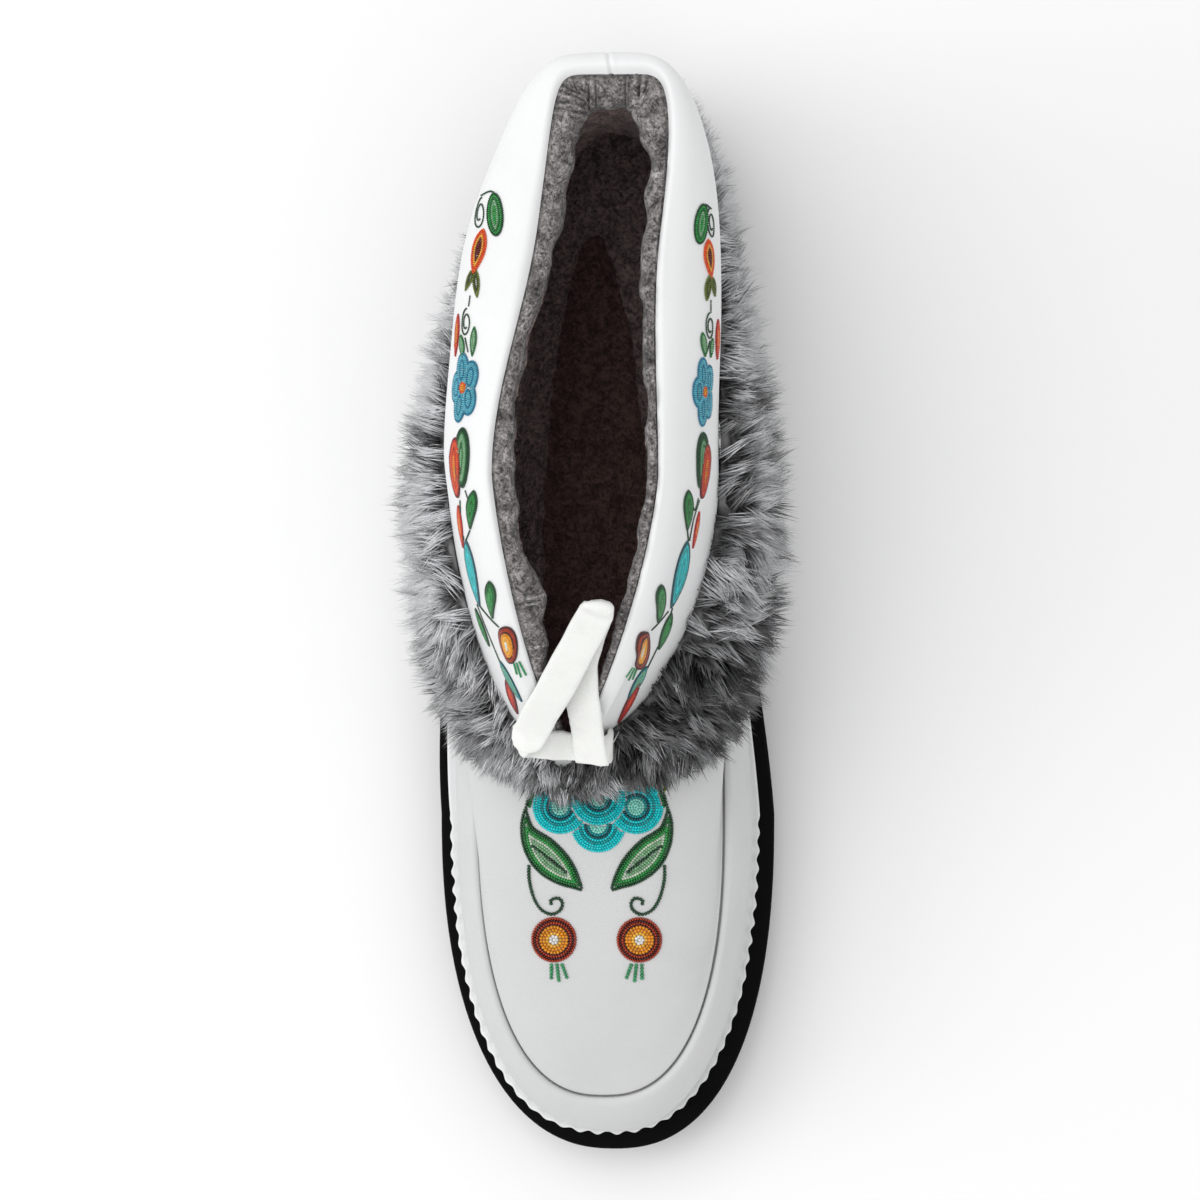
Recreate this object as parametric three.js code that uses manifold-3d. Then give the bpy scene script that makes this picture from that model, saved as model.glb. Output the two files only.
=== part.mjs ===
// Ankle-high mukluk boot for the right foot: black rubber outsole, white leather moccasin upper with an
// inset apron and a crimped margin, soft shaft with a rolled-in collar, deep fur cuff round the ankle,
// fleece-topped insole and a flat leather lace tied once over the throat.
// Millimetres. The toe points to -Y, the big toe's side is +X, +Z is up.
// The origin is on the floor, under the middle of the heel.
import * as THREE from "three";
import { mergeVertices } from "three/addons/utils/BufferGeometryUtils.js";
import Module from "manifold-3d";

const wasm = await Module();
wasm.setup();

// Driving dimensions
const soleLength = 280; // toe tip to heel end
const heelSetback = 36; // origin to the heel end of the sole
const ballWidth = 89; // outsole across the ball
const heelWidth = 68; // outsole across the heel
const heelThickness = 26; // floor to the sole's top under the heel
const ballThickness = 16; // floor to the sole's top under the ball
const toeThickness = 14; // sole at the toe tip, without the toe spring
const toeSpring = 7; // how far the toe tip is off the floor
const archRise = 5; // how far the waist of the sole is off the floor
const lugDepth = 3.5;
const lugGap = 6; // clear groove between two lugs
const lugLength = 9; // lug along the foot
const lugInset = 5; // lug field inside the sole's outline
const grooveDepth = 1; // groove round the sole's side
const topRound = 1.2; // rounded upper edge of the sole

const lastWidth = 77.6; // upper across the ball
const instepHeight = 60; // sole's top to the ankle seam
const throatHeight = 85; // sole's top to the bottom of the collar's front notch
const shaftHeight = 137; // sole's top to the collar at the back and sides
const ankleWidth = 67; // shaft across, at its widest
const collarWidth = 40; // opening between the rolled-in edges
const leather = 2.2; // wall of upper and shaft
const apronThickness = 1.4;
const marginThickness = 1.6;
const marginWidth = 4.2; // crimped margin outside the upper's lower edge
const crimpPitch = 4.85;
const crimpDepth = 0.9;
const crimpStart = 0.725; // share of the sole's length from where the margin is crimped
const insoleThickness = 5;
const furPile = 12.4; // cuff's body at the sides, without its locks
const furDroop = 7; // how far the cuff's middle hangs below its root
const lockRadius = 5.6;
const lockRise = 4.6; // how far a lock's tip stands off the cuff's body
const locksPerRow = 20;
const laceWidth = 9;
const laceThickness = 1.6;
const gap = 0.3; // between two touching pieces
const layerGap = 0.4; // between the skin and a layer laid on it

// Small helpers
const RIGHT_TURN = Math.PI / 2;
const mix = (a, b, share) => a + (b - a) * share;
const clamp01 = (v) => Math.min(1, Math.max(0, v));
const smooth = (v) => clamp01(v) * clamp01(v) * (3 - 2 * clamp01(v));
const atLength = (share) => heelSetback - share * soleLength; // y at a share of the length from the heel end
const lengthShare = (y) => (heelSetback - y) / soleLength;

// Smooth curve through the values at 0, 1, 2 ...
function through(values, t) {
  const last = values.length - 1;
  const i = Math.min(last - 1, Math.max(0, Math.floor(t)));
  const f = t - i;
  const p = [values[Math.max(0, i - 1)], values[i], values[i + 1], values[Math.min(last, i + 2)]];
  return (
    p[1] +
    (f / 2) *
      (p[2] - p[0] + f * (2 * p[0] - 5 * p[1] + 4 * p[2] - p[3] + f * (3 * (p[1] - p[2]) + p[3] - p[0])))
  );
}

// Height of the tread above the floor along the foot: flat at heel and ball, raised at waist and toe.
function treadHeight(y) {
  const s = lengthShare(y);
  const waist = smooth((s - 0.24) / 0.08) * (1 - smooth((s - 0.42) / 0.16));
  const spring = clamp01((s - 0.8) / 0.2);
  return archRise * waist + toeSpring * spring * spring;
}

// Height of the sole's upper face along the foot.
function soleTop(y) {
  const s = lengthShare(y);
  const spring = clamp01((s - 0.7) / 0.3);
  const drop = smooth((s - 0.12) / 0.5);
  const toeClimb = toeThickness + toeSpring - ballThickness;
  return mix(heelThickness, ballThickness, drop) + toeClimb * spring * spring;
}

// Reach r of the curve (r c)^p + (r s)^q = 1 in the direction (c, s), by halving.
function curveReach(c, s, p, q) {
  let low = 0;
  let high = 2;
  for (let i = 0; i < 30; i++) {
    const r = (low + high) / 2;
    if (Math.pow(r * c, p) + Math.pow(r * s, q) < 1) low = r;
    else high = r;
  }
  return low;
}

// A plan outline, as a point for an angle: two half superellipses that meet at the widest station, with the
// rear half narrowed to heelShare of the front. -90 degrees is the toe, 0 the big toe's side, 90 the heel.
function planPoint(angle, form) {
  const c = Math.cos(angle);
  const s = Math.sin(angle);
  const front = s < 0;
  const [p, q] = front ? [form.nToe, form.nToe] : [form.nEnd, form.nHeel];
  const reach = curveReach(Math.abs(c), Math.abs(s), p, q);
  const across = Math.abs(c) < 1e-9 ? 0 : c * reach;
  const along = Math.abs(s) * reach;
  const y = mix(form.yWide, front ? form.yToe : form.yHeel, along);
  const narrow = front ? 1 : mix(1, form.heelShare, smooth(along / 0.62));
  const centre = front
    ? mix(form.xWide, form.xToe, along * along)
    : mix(form.xWide, form.xHeel, smooth(along)) - form.waistSway * Math.sin(Math.PI * along);
  return { x: centre + across * form.half * narrow, y, along, front };
}

// Levels of the upper and shaft, from the feather edge to the collar lip, with what each number means:
// toe, wide, heel: places along the sole, as shares of its length from the heel end
// riseToe, riseWide, riseHeel: heights there, half: half width, both as shares told above each table
// heelShare: narrowing of the rear half, nToe, nHeel, nEnd: exponents of toe, rear sides and rear end
// xToe, xWide, xHeel: sideways places of the centre line, as shares of the half last width
// fall: how late the heights drop from the widest station to the toe
const levelColumns = [
  ...["toe", "wide", "heel", "riseToe", "riseWide", "riseHeel", "half", "heelShare"],
  ...["nToe", "nHeel", "nEnd", "xToe", "xWide", "xHeel", "fall"],
];

// Rises are shares of the instep height, half is a share of the half last width.
const footLevels = [
  ["feather", 0.966, 0.682, 0.016, 0, 0, 0, 0.94, 0.8, 2.35, 8, 2.4, 0.01, 0, 0.11, 1.5],
  ["low wall", 0.975, 0.682, 0.009, 0.1, 0.14, 0.2, 0.985, 0.815, 2.35, 7.5, 2.4, 0.01, 0, 0.11, 1.5],
  ["mid wall", 0.977, 0.682, 0.007, 0.22, 0.34, 0.44, 1, 0.82, 2.35, 7, 2.4, 0.01, 0, 0.115, 1.5],
  ["high wall", 0.967, 0.682, 0.01, 0.34, 0.53, 0.63, 0.968, 0.82, 2.35, 6.5, 2.4, 0.01, 0, 0.12, 1.5],
  ["roll crown", 0.952, 0.68, 0.012, 0.42, 0.64, 0.74, 0.888, 0.85, 2.4, 6, 2.4, 0.005, 0, 0.125, 1.5],
  ["roll inside", 0.944, 0.68, 0.013, 0.43, 0.652, 0.77, 0.836, 0.88, 2.45, 5.5, 2.4, 0, 0, 0.13, 1.5],
  ["apron seam", 0.939, 0.68, 0.014, 0.41, 0.628, 0.8, 0.804, 0.89, 2.45, 5, 2.4, 0, 0, 0.13, 1.5],
  ["apron edge", 0.929, 0.675, 0.016, 0.437, 0.65, 0.83, 0.768, 0.92, 2.45, 4.6, 2.4, 0, -0.01, 0.13, 1.5],
  ["apron low", 0.887, 0.65, 0.018, 0.548, 0.705, 0.88, 0.765, 0.9, 2.4, 4.2, 2.4, -0.01, -0.015, 0.135, 1.4],
  ["apron mid", 0.818, 0.6, 0.021, 0.672, 0.785, 0.94, 0.8, 0.87, 2.35, 3.6, 2.4, -0.03, -0.025, 0.135, 1.3],
  ["apron high", 0.728, 0.52, 0.026, 0.822, 0.89, 1.02, 0.845, 0.84, 2.3, 3, 2.4, -0.07, -0.04, 0.14, 1.2],
  ["ankle seam", 0.632, 0.43, 0.032, 0.995, 1, 1.1, 0.88, 0.82, 2.3, 2.6, 2.4, -0.12, -0.05, 0.14, 1.2],
];

// Rises are shares of the climb from the ankle seam to the collar, half is a share of the way from the half
// collar width to the half ankle width.
const shaftLevels = [
  ["ankle", 0.634, 0.39, 0.038, 0.24, 0.25, 0.23, 0.99, 0.88, 1.95, 2.4, 2.4, -0.155, -0.05, 0.13, 1.6],
  ["leg", 0.634, 0.365, 0.033, 0.48, 0.5, 0.48, 1, 0.97, 1.62, 2.6, 2.5, -0.19, -0.05, 0.12, 2],
  ["bulge", 0.632, 0.35, 0.021, 0.68, 0.725, 0.72, 0.96, 1, 1.42, 2.9, 2.7, -0.21, -0.05, 0.12, 2.4],
  ["shoulder", 0.627, 0.355, 0.011, 0.84, 0.875, 0.885, 0.71, 1, 1.37, 3.4, 3.3, -0.205, -0.05, 0.13, 2.7],
  ["rim", 0.62, 0.37, 0.012, 0.94, 0.963, 0.975, 0.4, 0.91, 1.42, 4.6, 4.6, -0.16, -0.052, 0.15, 2.9],
  ["collar edge", 0.612, 0.37, 0.021, 1, 1, 1.005, 0.13, 0.79, 1.36, 6.5, 6.5, -0.155, -0.054, 0.165, 3],
  ["collar lip", 0.61, 0.37, 0.03, 0.99, 0.993, 0.99, 0, 0.74, 1.33, 8, 8, -0.155, -0.055, 0.175, 3],
];

const halfLast = lastWidth / 2;
const waistSway = 0.05 * ballWidth; // how far the waist swings away from the arch's side

const named = ([name, ...numbers]) => ({
  name,
  ...Object.fromEntries(levelColumns.map((key, i) => [key, numbers[i]])),
});
const footRows = footLevels.map(named);
const seamRise = footRows[footRows.length - 1];

// One level in millimetres, with heights above the sole's upper face
function inMillimetres(row, half, rise) {
  const lengths = ["toe", "wide", "heel"].map((key) => [key, atLength(row[key])]);
  const rises = ["riseToe", "riseWide", "riseHeel"].map((key) => [key, rise(key)]);
  const centres = ["xToe", "xWide", "xHeel"].map((key) => [key, row[key] * halfLast]);
  return { ...row, half, ...Object.fromEntries([...lengths, ...rises, ...centres]) };
}

const levels = [
  ...footRows.map((row) => inMillimetres(row, row.half * halfLast, (key) => row[key] * instepHeight)),
  ...shaftLevels.map(named).map((row) =>
    inMillimetres(row, mix(collarWidth / 2, ankleWidth / 2, row.half), (key) =>
      mix(seamRise[key] * instepHeight, key === "riseToe" ? throatHeight : shaftHeight, row[key]),
    ),
  ),
];
const columns = Object.fromEntries(levelColumns.map((key) => [key, levels.map((row) => row[key])]));
const levelNumber = (name) => levels.findIndex((row) => row.name === name);
const seamLevel = levelNumber("apron seam");
const ankleLevel = levelNumber("ankle seam");
const collarLevel = levelNumber("collar lip");

// Outward normal of a profile line (across, up) at a level, where outward is the line's own positive side.
function profileNormal(across, up, sign, t) {
  const step = 0.05;
  const a = Math.max(0, t - step);
  const b = Math.min(collarLevel, t + step);
  const dx = through(columns[across], b) - through(columns[across], a);
  const dz = through(columns[up], b) - through(columns[up], a);
  const length = Math.hypot(dx, dz) || 1;
  return { across: (sign * dz) / length, up: (-sign * dx) / length };
}

// The plan form and heights of the level t, moved inwards by depth along the profiles' normals.
function levelForm(t, depth) {
  const at = (key) => through(columns[key], t);
  const toeN = profileNormal("toe", "riseToe", -1, t);
  const sideN = profileNormal("half", "riseWide", 1, t);
  const heelN = profileNormal("heel", "riseHeel", 1, t);
  return {
    yToe: at("toe") - depth * toeN.across,
    yWide: at("wide"),
    yHeel: at("heel") - depth * heelN.across,
    half: at("half") - depth * sideN.across,
    heelShare: at("heelShare"),
    nToe: at("nToe"),
    nHeel: at("nHeel"),
    nEnd: at("nEnd"),
    xToe: at("xToe"),
    xWide: at("xWide"),
    xHeel: at("xHeel"),
    waistSway: waistSway * Math.max(0, 1 - t / seamLevel),
    fall: at("fall"),
    riseToe: at("riseToe") - depth * toeN.up,
    riseWide: at("riseWide") - depth * sideN.up,
    riseHeel: at("riseHeel") - depth * heelN.up,
  };
}

// A point of the boot's skin: the level t from the feather edge up, at a depth below the outer face.
function skin(angle, t, depth, lift = 0) {
  const form = levelForm(t, depth);
  const p = planPoint(angle, form);
  const rise = p.front
    ? mix(form.riseWide, form.riseToe, Math.pow(p.along, form.fall))
    : mix(form.riseWide, form.riseHeel, Math.pow(p.along, 1.5));
  return new THREE.Vector3(p.x, p.y, soleTop(p.y) + gap + rise + lift);
}

// The same, straight between whole levels, so that pieces with different rows lie on the same facets.
function facet(angle, t, depth, lift = 0) {
  const low = Math.min(collarLevel - 1, Math.floor(t));
  return skin(angle, low, depth, lift).lerp(skin(angle, low + 1, depth, lift), t - low);
}

const angles = (count) => Array.from({ length: count }, (_, i) => -RIGHT_TURN + (2 * Math.PI * i) / count);
const skinRing = (count, t, depth, lift) => angles(count).map((a) => skin(a, t, depth, lift));

// Triangles gathered one by one, then made a closed solid
function solidOf(triangles) {
  const flat = new Float32Array(triangles.length * 9);
  triangles.forEach((corners, i) => corners.forEach((p, k) => flat.set([p.x, p.y, p.z], i * 9 + k * 3)));
  const loose = new THREE.BufferGeometry().setAttribute("position", new THREE.BufferAttribute(flat, 3));
  return solidOfGeometry(loose);
}

function solidOfGeometry(geometry) {
  const bare = geometry.clone();
  bare.deleteAttribute("normal");
  bare.deleteAttribute("uv");
  const merged = mergeVertices(bare, 1e-3);
  const index = merged.index.array;
  const kept = [];
  for (let i = 0; i < index.length; i += 3) {
    const [a, b, c] = [index[i], index[i + 1], index[i + 2]];
    if (a !== b && b !== c && c !== a) kept.push(a, b, c);
  }
  const mesh = new wasm.Mesh({
    numProp: 3,
    vertProperties: merged.attributes.position.array,
    triVerts: new Uint32Array(kept),
  });
  return new wasm.Manifold(mesh);
}

function geometryOf(solid) {
  const mesh = solid.getMesh();
  const geometry = new THREE.BufferGeometry();
  geometry.setAttribute("position", new THREE.BufferAttribute(new Float32Array(mesh.vertProperties), 3));
  geometry.setIndex(new THREE.BufferAttribute(new Uint32Array(mesh.triVerts), 1));
  geometry.computeVertexNormals();
  return geometry;
}

// Side faces between two rings that run the same way round.
function wall(triangles, low, high) {
  const count = low.length;
  for (let i = 0; i < count; i++) {
    const j = (i + 1) % count;
    triangles.push([low[i], low[j], high[j]], [low[i], high[j], high[i]]);
  }
}

// A lid over a ring, joining each point to the one across the foot. up tells which way it faces.
function lid(triangles, ring, up) {
  const count = ring.length;
  for (let i = 0; i < count / 2; i++) {
    const quad = [ring[i], ring[i + 1], ring[(count - i - 1) % count], ring[(count - i) % count]];
    if (!up) quad.reverse();
    triangles.push([quad[0], quad[1], quad[2]], [quad[0], quad[2], quad[3]]);
  }
}

// A solid through stacked rings, with a lid at each end.
function stack(rings) {
  const triangles = [];
  for (let i = 0; i + 1 < rings.length; i++) wall(triangles, rings[i], rings[i + 1]);
  lid(triangles, rings[0], false);
  lid(triangles, rings[rings.length - 1], true);
  return solidOf(triangles);
}

// A hollow solid between two piles of rings, both listed from the bottom up.
function sleeve(outside, inside) {
  const triangles = [];
  for (let i = 0; i + 1 < inside.length; i++) wall(triangles, inside[i], inside[i + 1]);
  triangles.forEach((corners) => corners.reverse());
  for (let i = 0; i + 1 < outside.length; i++) wall(triangles, outside[i], outside[i + 1]);
  wall(triangles, inside[0], outside[0]);
  wall(triangles, outside[outside.length - 1], inside[inside.length - 1]);
  return solidOf(triangles);
}

// A closed sheet between an outer and an inner grid of points.
function plate(outer, inner) {
  const triangles = [];
  const rows = outer.length;
  const cols = outer[0].length;
  const quad = (a, b, c, d) => triangles.push([a, b, c], [a, c, d]);
  for (let r = 0; r + 1 < rows; r++) {
    for (let c = 0; c + 1 < cols; c++) {
      quad(outer[r][c], outer[r][c + 1], outer[r + 1][c + 1], outer[r + 1][c]);
      quad(inner[r][c], inner[r + 1][c], inner[r + 1][c + 1], inner[r][c + 1]);
    }
  }
  for (let c = 0; c + 1 < cols; c++) {
    quad(inner[0][c], inner[0][c + 1], outer[0][c + 1], outer[0][c]);
    quad(outer[rows - 1][c], outer[rows - 1][c + 1], inner[rows - 1][c + 1], inner[rows - 1][c]);
  }
  for (let r = 0; r + 1 < rows; r++) {
    quad(outer[r][0], outer[r + 1][0], inner[r + 1][0], inner[r][0]);
    quad(inner[r][cols - 1], inner[r + 1][cols - 1], outer[r + 1][cols - 1], outer[r][cols - 1]);
  }
  return solidOf(triangles);
}

// Outsole
const soleForm = (inset) => ({
  yToe: atLength(1) + inset,
  yWide: atLength(0.682),
  yHeel: atLength(0) - inset,
  half: ballWidth / 2 - inset,
  heelShare: (heelWidth / 2 - inset) / (ballWidth / 2 - inset),
  nToe: 2.35,
  nHeel: 8,
  nEnd: 2.4,
  xToe: 0.02 * ballWidth,
  xWide: 0,
  xHeel: 0.055 * ballWidth,
  waistSway,
});

function soleRing(count, inset, height) {
  return angles(count).map((a) => {
    const p = planPoint(a, soleForm(inset));
    return new THREE.Vector3(p.x, p.y, height(p.y));
  });
}

function makeOutsole() {
  const points = 64;
  const underside = (y) => treadHeight(y) + lugDepth;
  const at = (share) => (y) => mix(underside(y), soleTop(y), share);
  const body = stack([
    soleRing(points, 2 * grooveDepth, underside),
    soleRing(points, grooveDepth / 2, at(0.14)),
    soleRing(points, grooveDepth / 2, at(0.42)),
    soleRing(points, 1.5 * grooveDepth, at(0.48)),
    soleRing(points, 1.5 * grooveDepth, at(0.58)),
    soleRing(points, 0, at(0.64)),
    soleRing(points, 0, (y) => soleTop(y) - topRound),
    soleRing(points, topRound, soleTop),
  ]);
  return body.add(makeLugs());
}

// Bars across the tread, cut to the sole's outline: heel bars and forefoot bars, each angled a little.
function makeLugs() {
  const pitch = lugLength + lugGap;
  const sunk = 1.5; // how far a lug runs up into the sole
  const field = stack([
    soleRing(48, lugInset, () => -1),
    soleRing(48, lugInset, () => toeSpring + archRise + lugDepth + sunk + 1),
  ]);
  const bars = [];
  const bar = (y, slant) => {
    const low = treadHeight(y);
    const shape = new THREE.BoxGeometry(ballWidth * 1.2, lugLength, lugDepth + sunk);
    shape.rotateZ(slant);
    shape.translate(0, y, low + (lugDepth + sunk) / 2);
    bars.push(solidOfGeometry(shape));
  };
  const heelBars = Math.floor((0.11 * soleLength) / pitch);
  for (let i = -heelBars; i <= heelBars; i++) bar(i * pitch, 0);
  const foreBars = Math.max(4, Math.floor((0.44 * soleLength) / pitch));
  for (let i = 0; i < foreBars; i++) bar(atLength(0.545) - i * pitch, 0.12 * Math.sign(i % 2 || -1));
  return bars.reduce((all, one) => all.add(one)).intersect(field);
}

// Crimped margin: the white leather edge that lies on the sole round the upper
function makeMargin() {
  const fine = 1440;
  const inside = skinRing(fine, 0, -layerGap);
  const insideTop = skinRing(fine, 0.3, -layerGap);
  const featherHalf = levelForm(0, 0);
  const outline = (out) =>
    angles(fine).map((a) => {
      const p = planPoint(a, {
        ...featherHalf,
        yToe: featherHalf.yToe - out * 1.35,
        yHeel: featherHalf.yHeel + out * 0.5,
        half: featherHalf.half + out,
      });
      return new THREE.Vector3(p.x, p.y, 0);
    });
  const outside = outline(marginWidth);
  const picked = [];
  let run = 0;
  let wanted = 0;
  for (let i = 0; i < fine; i++) {
    if (i > 0) run += outside[i].distanceTo(outside[i - 1]);
    if (run < wanted) continue;
    const crimped = lengthShare(outside[i].y) > crimpStart;
    picked.push({ i, run, crimped });
    wanted = run + (crimped ? crimpPitch / 2 : crimpPitch);
  }
  const height = (p, lift) => soleTop(p.y) + gap + lift;
  const ring = (points, lift) => points.map((p) => new THREE.Vector3(p.x, p.y, height(p, lift)));
  const outer = picked.map(({ i, run: length, crimped }) => {
    const swing = crimped ? Math.cos((2 * Math.PI * length) / crimpPitch) : 0;
    const wave = (crimpDepth / 2) * (1 + swing);
    const inward = inside[i].clone().sub(outside[i]).setZ(0).normalize();
    return outside[i].clone().addScaledVector(inward, wave);
  });
  const inner = (points) => picked.map(({ i }) => points[i]);
  return sleeve(
    [ring(outer, 0), ring(outer, marginThickness)],
    [ring(inner(inside), 0), ring(inner(insideTop), marginThickness)],
  );
}

// Upper and shaft
const around = 56; // points round the upper and shaft

function makeUpper() {
  const outside = footLevels.map((_, t) => skinRing(around, t, 0, t === ankleLevel ? -gap : 0));
  const insideLevels = [0, 2, 4, seamLevel + 1, 9, ankleLevel];
  const inside = insideLevels.map((t) => skinRing(around, t, leather, t === ankleLevel ? -gap : 0));
  return sleeve(outside, inside);
}

function makeShaft() {
  const outside = levels.slice(ankleLevel).map((_, n) => skinRing(around, ankleLevel + n, 0));
  const insideLevels = [0, 2, 4, 6, 7].map((n) => ankleLevel + n);
  const inside = insideLevels.map((t) => skinRing(around, t, leather));
  return sleeve(outside, inside);
}

// Apron: the moccasin plug, let into the step inside the roll
function makeApron() {
  const steps = 32; // facets from side to side, of the upper's own facets
  const half = (steps / around) * Math.PI;
  const rows = [seamLevel + 0.25, 7, 8, 9, 10, ankleLevel - 0.15];
  const grid = (depth) =>
    rows.map((t) =>
      Array.from({ length: steps + 1 }, (_, i) => {
        const angle = -RIGHT_TURN + half * ((2 * i) / steps - 1);
        return facet(angle, t, depth);
      }),
    );
  return plate(grid(-layerGap - apronThickness), grid(-layerGap));
}

// Insole: a fleece-topped footbed inside the feather edge
function makeInsole() {
  const outline = skinRing(around, 0, leather + gap);
  const ring = (lift) => outline.map((p) => new THREE.Vector3(p.x, p.y, soleTop(p.y) + lift));
  return stack([ring(gap), ring(gap + insoleThickness)]);
}

// Fur cuff: a thick band round the ankle seam, with rows of locks that hang from it
const frontness = (angle) => Math.pow(Math.max(0, -Math.sin(angle)), 6);
const backness = (angle) => smooth(Math.sin(angle) / 0.75);
const furLevel = (angle, share) =>
  mix(
    ankleLevel - mix(0.5, 0.12, frontness(angle)),
    ankleLevel + mix(1.95, 2.4, frontness(angle)) - 0.35 * backness(angle),
    share,
  );

// How far the cuff's inside is off the skin: it clears the apron, which runs up under it in front.
function hugDepth(angle, level) {
  const overApron = smooth((-Math.sin(angle) + 0.45) / 0.2) * (1 - smooth((level - ankleLevel) / 0.4));
  return -layerGap - (apronThickness + gap) * overApron;
}

// A point of the cuff's outside: share 0 is its lower edge, 1 its upper edge.
function furPoint(angle, share, extra = 0) {
  const level = furLevel(angle, clamp01(share));
  const root = facet(angle, level, hugDepth(angle, level));
  const out = facet(angle, level, hugDepth(angle, level) - 1).sub(root).setZ(0).normalize();
  const bulge = Math.pow(Math.sin(Math.PI * clamp01(share)), 0.6);
  const quarter = 0.5 * Math.pow(Math.max(0, Math.cos(angle + RIGHT_TURN / 2)), 4);
  const swell = 1.08 + 0.17 * Math.cos(angle) + quarter;
  const pile = furPile * (swell - 0.68 * frontness(angle) - 0.6 * backness(angle));
  root.addScaledVector(out, pile * bulge + extra);
  root.z -= furDroop * bulge * (1 - frontness(angle));
  return root;
}

function makeFurCuff() {
  const sunk = 1.5; // how far its ends run into the part that is cut away for the leg
  const end = (share) => angles(around).map((a) => facet(a, furLevel(a, share), sunk));
  const outside = [0.04, 0.14, 0.3, 0.5, 0.7, 0.86, 0.96].map((share) =>
    angles(around).map((a) => furPoint(a, share)),
  );
  let cuff = stack([end(0), ...outside, end(1)]);
  [0.3, 0.55, 0.78].forEach((share, row) => {
    for (let i = 0; i < locksPerRow; i++) cuff = cuff.add(makeLock(share, row, i));
  });
  const legLevels = [-4, -3, -2, -1, -0.3, 0, 0.4, 1, 2, 3, 3.5].map((n) => ankleLevel + n);
  const leg = stack(legLevels.map((t) => angles(around).map((a) => facet(a, t, hugDepth(a, t)))));
  const whole = cuff.subtract(leg);
  return whole.decompose().reduce((most, one) => (one.volume() > most.volume() ? one : most));
}

// One lock: a slim cone with its foot in the cuff, hanging outwards.
function makeLock(share, row, i) {
  const shift = 0.5 * (row % 2) + 0.14 * Math.sin(5 * i + row);
  const angle = -RIGHT_TURN + (2 * Math.PI * (i + shift)) / locksPerRow;
  const foot = furPoint(angle, share, -0.75 * lockRadius);
  const tip = furPoint(angle, share - 0.24, lockRise * (0.75 + 0.5 * Math.abs(Math.sin(3 * i + 2 * row))));
  const direction = tip.clone().sub(foot);
  const cone = new THREE.ConeGeometry(lockRadius, direction.length(), 4);
  cone.translate(0, direction.length() / 2, 0);
  const turn = new THREE.Quaternion().setFromUnitVectors(new THREE.Vector3(0, 1, 0), direction.normalize());
  cone.applyQuaternion(turn);
  cone.translate(foot.x, foot.y, foot.z);
  return solidOfGeometry(cone);
}

// Lace: a flat thong that comes up out of the fur at the right of the notch, crosses to its left, folds,
// climbs over the opening as a loop, folds under and comes back down to its cut end. Its route is set by
// hand: offsets from the notch's bottom, the direction across the thong in degrees from +X seen from
// above, and how far that direction tilts up.
const laceRoute = [
  { x: 10.8, y: -0.9, z: -1.8, across: 47, tilt: 18 },
  { x: 10.5, y: -0.5, z: 3.6, across: 50, tilt: 24 },
  { x: 9.4, y: 0.5, z: 8.2, across: 66, tilt: 34 },
  { x: 6.7, y: 0.8, z: 9.0, across: 84, tilt: 38 },
  { x: 0.6, y: 1.0, z: 6.8, across: 90, tilt: 38 },
  { x: -4.9, y: 1.0, z: 9.0, across: 92, tilt: 38 },
  { x: -9.1, y: 1.3, z: 9.4, across: 100, tilt: 34 },
  { x: -11.5, y: 2.4, z: 11.0, across: 114, tilt: 22 },
  { x: -12.1, y: 3.1, z: 13.0, across: 122, tilt: 12 },
  { x: -10.9, y: 4.1, z: 14.8, across: 132, tilt: 6 },
  { x: -9.1, y: 6.3, z: 17.6, across: 142, tilt: 10 },
  { x: -6.3, y: 10.5, z: 24.0, across: 149, tilt: 14 },
  { x: -2.8, y: 15.7, z: 31.2, across: 150, tilt: 14 },
  { x: 1.9, y: 23.9, z: 39.0, across: 150, tilt: 14 },
  { x: 6.7, y: 32.3, z: 46.4, across: 150, tilt: 10 },
  { x: 8.7, y: 35.7, z: 50.0, across: 158, tilt: 4 },
  { x: 9.3, y: 36.9, z: 51.4, across: 172, tilt: 0 },
  { x: 9.1, y: 36.5, z: 49.0, across: 180, tilt: 0 },
  { x: 7.5, y: 33.3, z: 44.8, across: 176, tilt: -4 },
  { x: 5.5, y: 28.7, z: 39.6, across: 174, tilt: -8 },
  { x: 4.1, y: 23.5, z: 34.2, across: 176, tilt: -12 },
  { x: 3.9, y: 17.9, z: 29.4, across: 178, tilt: -12 },
  { x: 4.2, y: 12.3, z: 23.8, across: 180, tilt: -12 },
  { x: 4.6, y: 6.3, z: 16.6, across: 182, tilt: -8 },
  { x: 5.0, y: 1.3, z: 12.3, across: 183, tilt: -4 },
  { x: 5.5, y: -3.3, z: 8.4, across: 184, tilt: 0 },
];
const crossingEnd = 6; // the crossing runs to this row of the route, and the free loop from there

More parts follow.
